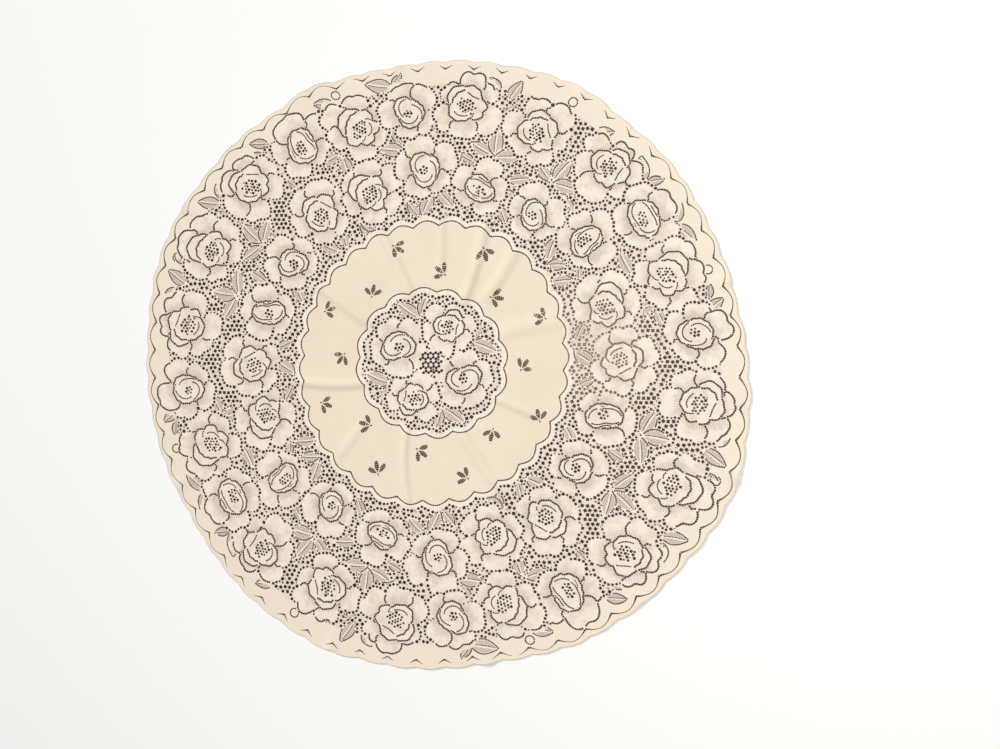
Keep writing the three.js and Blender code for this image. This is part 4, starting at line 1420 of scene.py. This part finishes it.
class Nodes:
    """Small helper that adds and links shader nodes by name."""

    def __init__(self, name):
        self.material = bpy.data.materials.new(name)
        self.material.use_nodes = True
        self.tree = self.material.node_tree
        self.tree.nodes.clear()

    def add(self, kind, inputs=None, **settings):
        node = self.tree.nodes.new(kind)
        for key, value in settings.items():
            setattr(node, key, value)
        for key, value in (inputs or {}).items():
            self.set(node.inputs[key], value)
        return node

    def set(self, socket, value):
        if isinstance(value, bpy.types.NodeSocket):
            self.tree.links.new(value, socket)
        else:
            socket.default_value = value

    def math(self, operation, a, b=0.0, c=0.0, clamp=False):
        node = self.add("ShaderNodeMath", {0: a, 1: b, 2: c}, operation=operation, use_clamp=clamp)
        return node.outputs[0]

    def smooth(self, value, low, high):
        node = self.add(
            "ShaderNodeMapRange",
            {"Value": value, "From Min": low, "From Max": high, "To Min": 0.0, "To Max": 1.0},
            interpolation_type="SMOOTHSTEP",
        )
        return node.outputs[0]

    def mix(self, factor, a, b):
        node = self.add("ShaderNodeMix", data_type="RGBA")
        self.set(node.inputs[0], factor)
        self.set(node.inputs[6], a)
        self.set(node.inputs[7], b)
        return node.outputs[2]

    def split(self, coords):
        """The first two parts of a place."""
        node = self.add("ShaderNodeSeparateXYZ", {0: coords})
        return node.outputs[0], node.outputs[1]

    def noise(self, coords, scale, detail, roughness=0.5):
        inputs = {"Vector": coords, "Scale": scale, "Detail": detail, "Roughness": roughness}
        return self.add("ShaderNodeTexNoise", inputs).outputs[0]

    def bands(self, coords, scale, distortion, direction):
        inputs = {"Vector": coords, "Scale": scale, "Distortion": distortion, "Detail": 1.0}
        return self.add("ShaderNodeTexWave", inputs, bands_direction=direction).outputs[1]


def far_from(n, coords, middle, near, far):
    """Grows from 0 to 1 between two distances from a place on the cloth, with a ragged edge."""
    wander = n.noise(coords, scale=55.0, detail=4.0, roughness=0.6)
    flat = n.add("ShaderNodeVectorMath", {0: coords, 1: (-1.0, -1.0, 0.0)}, operation="MULTIPLY")
    moved = n.add("ShaderNodeVectorMath", {0: flat.outputs[0], 1: (*middle, 0.0)}, operation="ADD")
    distance = n.add("ShaderNodeVectorMath", {0: moved.outputs[0]}, operation="LENGTH").outputs["Value"]
    ragged = n.math("MULTIPLY", n.math("SUBTRACT", wander, 0.5), far - near)
    return n.smooth(n.math("ADD", distance, ragged), near, far)


def ground_colour(n, coords, in_ring):
    """Ivory with warmer clouds, paler in streaks over the figured parts and at the edge, with painted rosy
    pools of light.
    """
    cloudy = n.smooth(n.noise(coords, scale=9.0, detail=4.0, roughness=0.6), 0.4, 0.75)
    colour = n.mix(n.math("MULTIPLY", cloudy, 0.6), IVORY, WARM)
    streaks = n.smooth(n.noise(coords, scale=38.0, detail=2.0), 0.45, 0.7)
    paler = n.math("SUBTRACT", 1.0, n.math("MULTIPLY", streaks, 0.5))
    colour = n.mix(n.math("MULTIPLY", in_ring, paler), colour, PALE)
    colour = n.mix(n.math("MULTIPLY", far_from(n, coords, (0, 0), 0.405, 0.43), 0.45), colour, PALE)
    # Painted light: rosy pale pools where the light falls brightest on the right of the cloth
    for light_pool in LIGHT_POOLS:
        near = n.math("SUBTRACT", 1.0, far_from(n, coords, light_pool["at"], light_pool["core"], light_pool["reach"]))
        colour = n.mix(n.math("MULTIPLY", near, light_pool["strength"]), colour, ROSY_LIGHT)
    return colour


def petal_shading(n, colour, coords, figure, is_petal, is_rose):
    """Grey rays, painted shade in a soft hollow round the inner petals, and faint clouds over the whole rose.
    """
    u, v = n.split(figure)
    radius = n.math("SQRT", n.math("ADD", n.math("MULTIPLY", u, u), n.math("MULTIPLY", v, v)))
    ragged = n.math("SUBTRACT", n.noise(figure, scale=5.0, detail=3.0, roughness=0.7), 0.5)
    reach = n.math("ADD", radius, n.math("MULTIPLY", ragged, 0.5))
    outside = n.math("ADD", n.math("MULTIPLY", is_petal, 0.88), 0.12)

    rays = n.math("SINE", n.math("MULTIPLY", n.math("ARCTAN2", v, u), 62.0))
    fade = n.math("SUBTRACT", 1.0, n.smooth(reach, 0.5, 0.8))
    ray_mask = n.math("MULTIPLY", n.math("MULTIPLY", n.smooth(rays, -0.5, 0.9), fade), outside)
    colour = n.mix(n.math("MULTIPLY", n.math("MULTIPLY", ray_mask, is_rose), 0.5), colour, GREY)

    # Painted shade: the petals darken towards the hollow round the inner petals, less in the medallion
    hollow = n.math("MULTIPLY", n.math("SUBTRACT", 1.0, n.smooth(reach, 0.48, 0.85)), outside)
    in_broad_ring = n.math("ADD", n.math("MULTIPLY", far_from(n, coords, (0, 0), 0.12, 0.15), 0.14), 0.1)
    colour = n.mix(n.math("MULTIPLY", n.math("MULTIPLY", hollow, is_rose), in_broad_ring), colour, GREY)

    clouds = n.smooth(n.noise(coords, scale=60.0, detail=3.0, roughness=0.65), 0.42, 0.72)
    return n.mix(n.math("MULTIPLY", clouds, n.math("MULTIPLY", is_rose, 0.3)), colour, GREY)


def leaf_shading(n, colour, figure, is_leaf):
    """Grey leaves with slanted veins, a pale middle rib and a ragged pale rim."""
    u, v = n.split(figure)
    share = n.math("MAXIMUM", n.math("MINIMUM", u, 1.0), 0.0)
    along = n.math("POWER", share, LEAF_SHAPE["forward"])
    arch = n.math("MAXIMUM", n.math("SINE", n.math("MULTIPLY", along, math.pi)), 0.0)
    half = n.math("MULTIPLY", n.math("POWER", arch, LEAF_SHAPE["full"]), 0.5)
    side = n.math("ABSOLUTE", v)
    jags = n.math("MULTIPLY", n.noise(figure, scale=14.0, detail=1.0), 0.16)
    in_rim = n.smooth(n.math("SUBTRACT", n.math("SUBTRACT", half, side), jags), 0.0, 0.06)
    off_rib = n.smooth(side, 0.06, 0.1)
    veins = n.math("ADD", n.math("MULTIPLY", u, 58.0), n.math("MULTIPLY", side, 40.0))
    bent = n.math("ADD", veins, n.math("MULTIPLY", n.noise(figure, scale=4.0, detail=2.0), 9.0))
    depth = n.math("ADD", n.math("MULTIPLY", n.smooth(n.math("SINE", bent), -0.5, 0.6), 0.46), 0.4)
    leaf_fill = n.math("MULTIPLY", n.math("MULTIPLY", in_rim, off_rib), is_leaf)
    return n.mix(n.math("MULTIPLY", leaf_fill, depth), colour, GREY)


def lace_cotton(name):
    """Ivory lace: warm cotton with a fine rib, greyer hatching in leaves and round the roses' whorls, painted
    shade round the whorls and in the rib's hollows, and painted rosy pools of light.
    """
    n = Nodes(name)
    coords = n.add("ShaderNodeTexCoord").outputs["Object"]
    figure = n.add("ShaderNodeUVMap", uv_map="figure").outputs["UV"]
    kind = n.add("ShaderNodeAttribute", attribute_name="figure_kind").outputs["Fac"]
    is_a = {label: n.math("COMPARE", kind, KIND[label], 0.1) for label in KINDS if label != "cloth"}
    is_rose = n.math("ADD", is_a["petal"], is_a["whorl"])
    is_ground = n.math("MAXIMUM", is_a["leaf"], is_a["net"])
    in_ring = n.math("MAXIMUM", n.math("MAXIMUM", is_rose, is_a["rim"]), is_ground)

    colour = ground_colour(n, coords, in_ring)
    colour = petal_shading(n, colour, coords, figure, is_a["petal"], is_rose)
    colour = leaf_shading(n, colour, figure, is_a["leaf"])
    colour = n.mix(n.math("MULTIPLY", is_a["net"], NET_GREY), colour, GREY)
    colour = n.mix(n.math("MULTIPLY", is_a["thread"], THREAD_BROWN), colour, BROWN)
    colour = n.mix(n.math("MULTIPLY", is_a["hem"], HEM_GREY), colour, GREY)

    weft = n.math("MULTIPLY", n.bands(coords, scale=118.0, distortion=1.4, direction="Y"), 0.7)
    weave = n.math("ADD", n.bands(coords, scale=145.0, distortion=1.2, direction="X"), weft)
    fuzz = n.noise(coords, scale=900.0, detail=3.0)
    height = n.math("ADD", weave, n.math("MULTIPLY", fuzz, 0.8))
    bump = n.add("ShaderNodeBump", {"Height": height, "Strength": 0.35, "Distance": 0.0003})
    # Painted shade: the weave turns grey in its hollows
    hollows = n.math("SUBTRACT", 1.0, n.smooth(weave, 0.2, 1.5))
    colour = n.mix(n.math("MULTIPLY", hollows, WEAVE_SHADE), colour, GREY)

    shader = n.add(
        "ShaderNodeBsdfPrincipled",
        {
            "Base Color": colour,
            "Roughness": n.math("ADD", n.math("MULTIPLY", fuzz, 0.12), 0.8),
            "Normal": bump.outputs[0],
            "Sheen Weight": 0.25,
            "Sheen Roughness": 0.4,
            "Specular IOR Level": 0.25,
        },
    )
    n.add("ShaderNodeOutputMaterial", {"Surface": shader.outputs[0]})
    return n.material


def plain_material(name, colour, roughness):
    """One even colour, for the floor."""
    n = Nodes(name)
    shader = n.add("ShaderNodeBsdfPrincipled", {"Base Color": colour, "Roughness": roughness})
    n.add("ShaderNodeOutputMaterial", {"Surface": shader.outputs[0]})
    return n.material


def dark_material(name):
    """Dark brown with painted light: paler towards the right and most beside the band there."""
    n = Nodes(name)
    coords = n.add("ShaderNodeTexCoord").outputs["Object"]
    x, _ = n.split(coords)
    # Painted light: paler towards the right, and a painted pool of light beside the band there
    colour = n.mix(n.smooth(x, -0.15, 0.45), DARK["left"], DARK["right"])
    colour = n.mix(far_from(n, coords, (0.24, 0.018), 0.01, 0.13), DARK["lit_patch"], colour)
    shader = n.add("ShaderNodeBsdfPrincipled", {"Base Color": colour, "Roughness": 0.6})
    n.add("ShaderNodeOutputMaterial", {"Surface": shader.outputs[0]})
    return n.material


# Camera, light and floor


def add_camera():
    """The camera of the photograph's view, with its lens."""
    right, up = Vector(CAMERA_RIGHT), Vector(CAMERA_UP)
    back = right.cross(up).normalized()
    up = back.cross(right).normalized()
    data = bpy.data.cameras.new("camera")
    data.sensor_width = SENSOR_WIDTH
    data.lens = SENSOR_WIDTH * FOCAL_PIXELS / FRAME_PIXELS
    camera = add_object("camera", data)
    turn = Matrix((right, up, back)).transposed().to_4x4()
    camera.matrix_world = Matrix.Translation(Vector(CAMERA_PLACE) * MM) @ turn
    bpy.context.scene.camera = camera


def add_lights():
    """Round soft lights, each turned towards its aim."""
    for row in LIGHTS:
        data = bpy.data.lights.new(row["name"], "AREA")
        data.shape = "DISK"
        data.size = row["size"]
        data.energy = row["power"]
        data.color = row["colour"]
        light = add_object(row["name"], data)
        light.location = row["at"]
        towards = Vector(row["to"]) - Vector(row["at"])
        light.rotation_euler = towards.to_track_quat("-Z", "Y").to_euler()


def light_room():
    """Even light from all sides, shown without a film look."""
    world = bpy.data.worlds.new("soft_room")
    world.use_nodes = True
    background = world.node_tree.nodes["Background"]
    background.inputs["Color"].default_value = ROOM_COLOUR
    background.inputs["Strength"].default_value = ROOM_STRENGTH
    bpy.context.scene.world = world
    bpy.context.scene.view_settings.view_transform = "Standard"


def flat_shape(name, rim, height, material):
    """A flat surface inside a closed rim of places in metres."""
    mesh = bpy.data.meshes.new(name)
    mesh.from_pydata([(x, y, height) for x, y in rim], [], [list(range(len(rim)))])
    mesh.materials.append(material)
    return add_object(name, mesh)


def add_stage():
    """A pale floor, and the dark surface that shows through the holes, wholly under the cloth."""
    angle = np.linspace(0, 2 * math.pi, STAGE_POINTS, endpoint=False)
    pale = plain_material("pale_floor", FLOOR["colour"], FLOOR["roughness"])
    floor = flat_shape("floor", place(angle, np.full(STAGE_POINTS, FLOOR["radius"])), FLOOR["height"], pale)
    hem = place(angle, scalloped(HEM, angle))
    inset = DARK["inset"] + DARK["inset_by_lift"] * lift(hem)
    under = centred(place(angle, scalloped(HEM, angle) - inset)) * MM
    dark = flat_shape("dark_under", under, DARK["height"], dark_material("dark_table"))


def finish_piece(piece):
    """Each piece rides on the one body and takes the place of the solid, which is hidden."""
    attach(piece, "root")
    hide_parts("lace_cloth")


def main():
    lace = lace_cotton("ivory_lace")
    face, back = lace_pieces(lace)
    stitches = hem_stitches(lace)
    for piece in (face, back, stitches):
        finish_piece(piece)
    add_camera()
    add_stage()
    light_room()
    add_lights()


main()
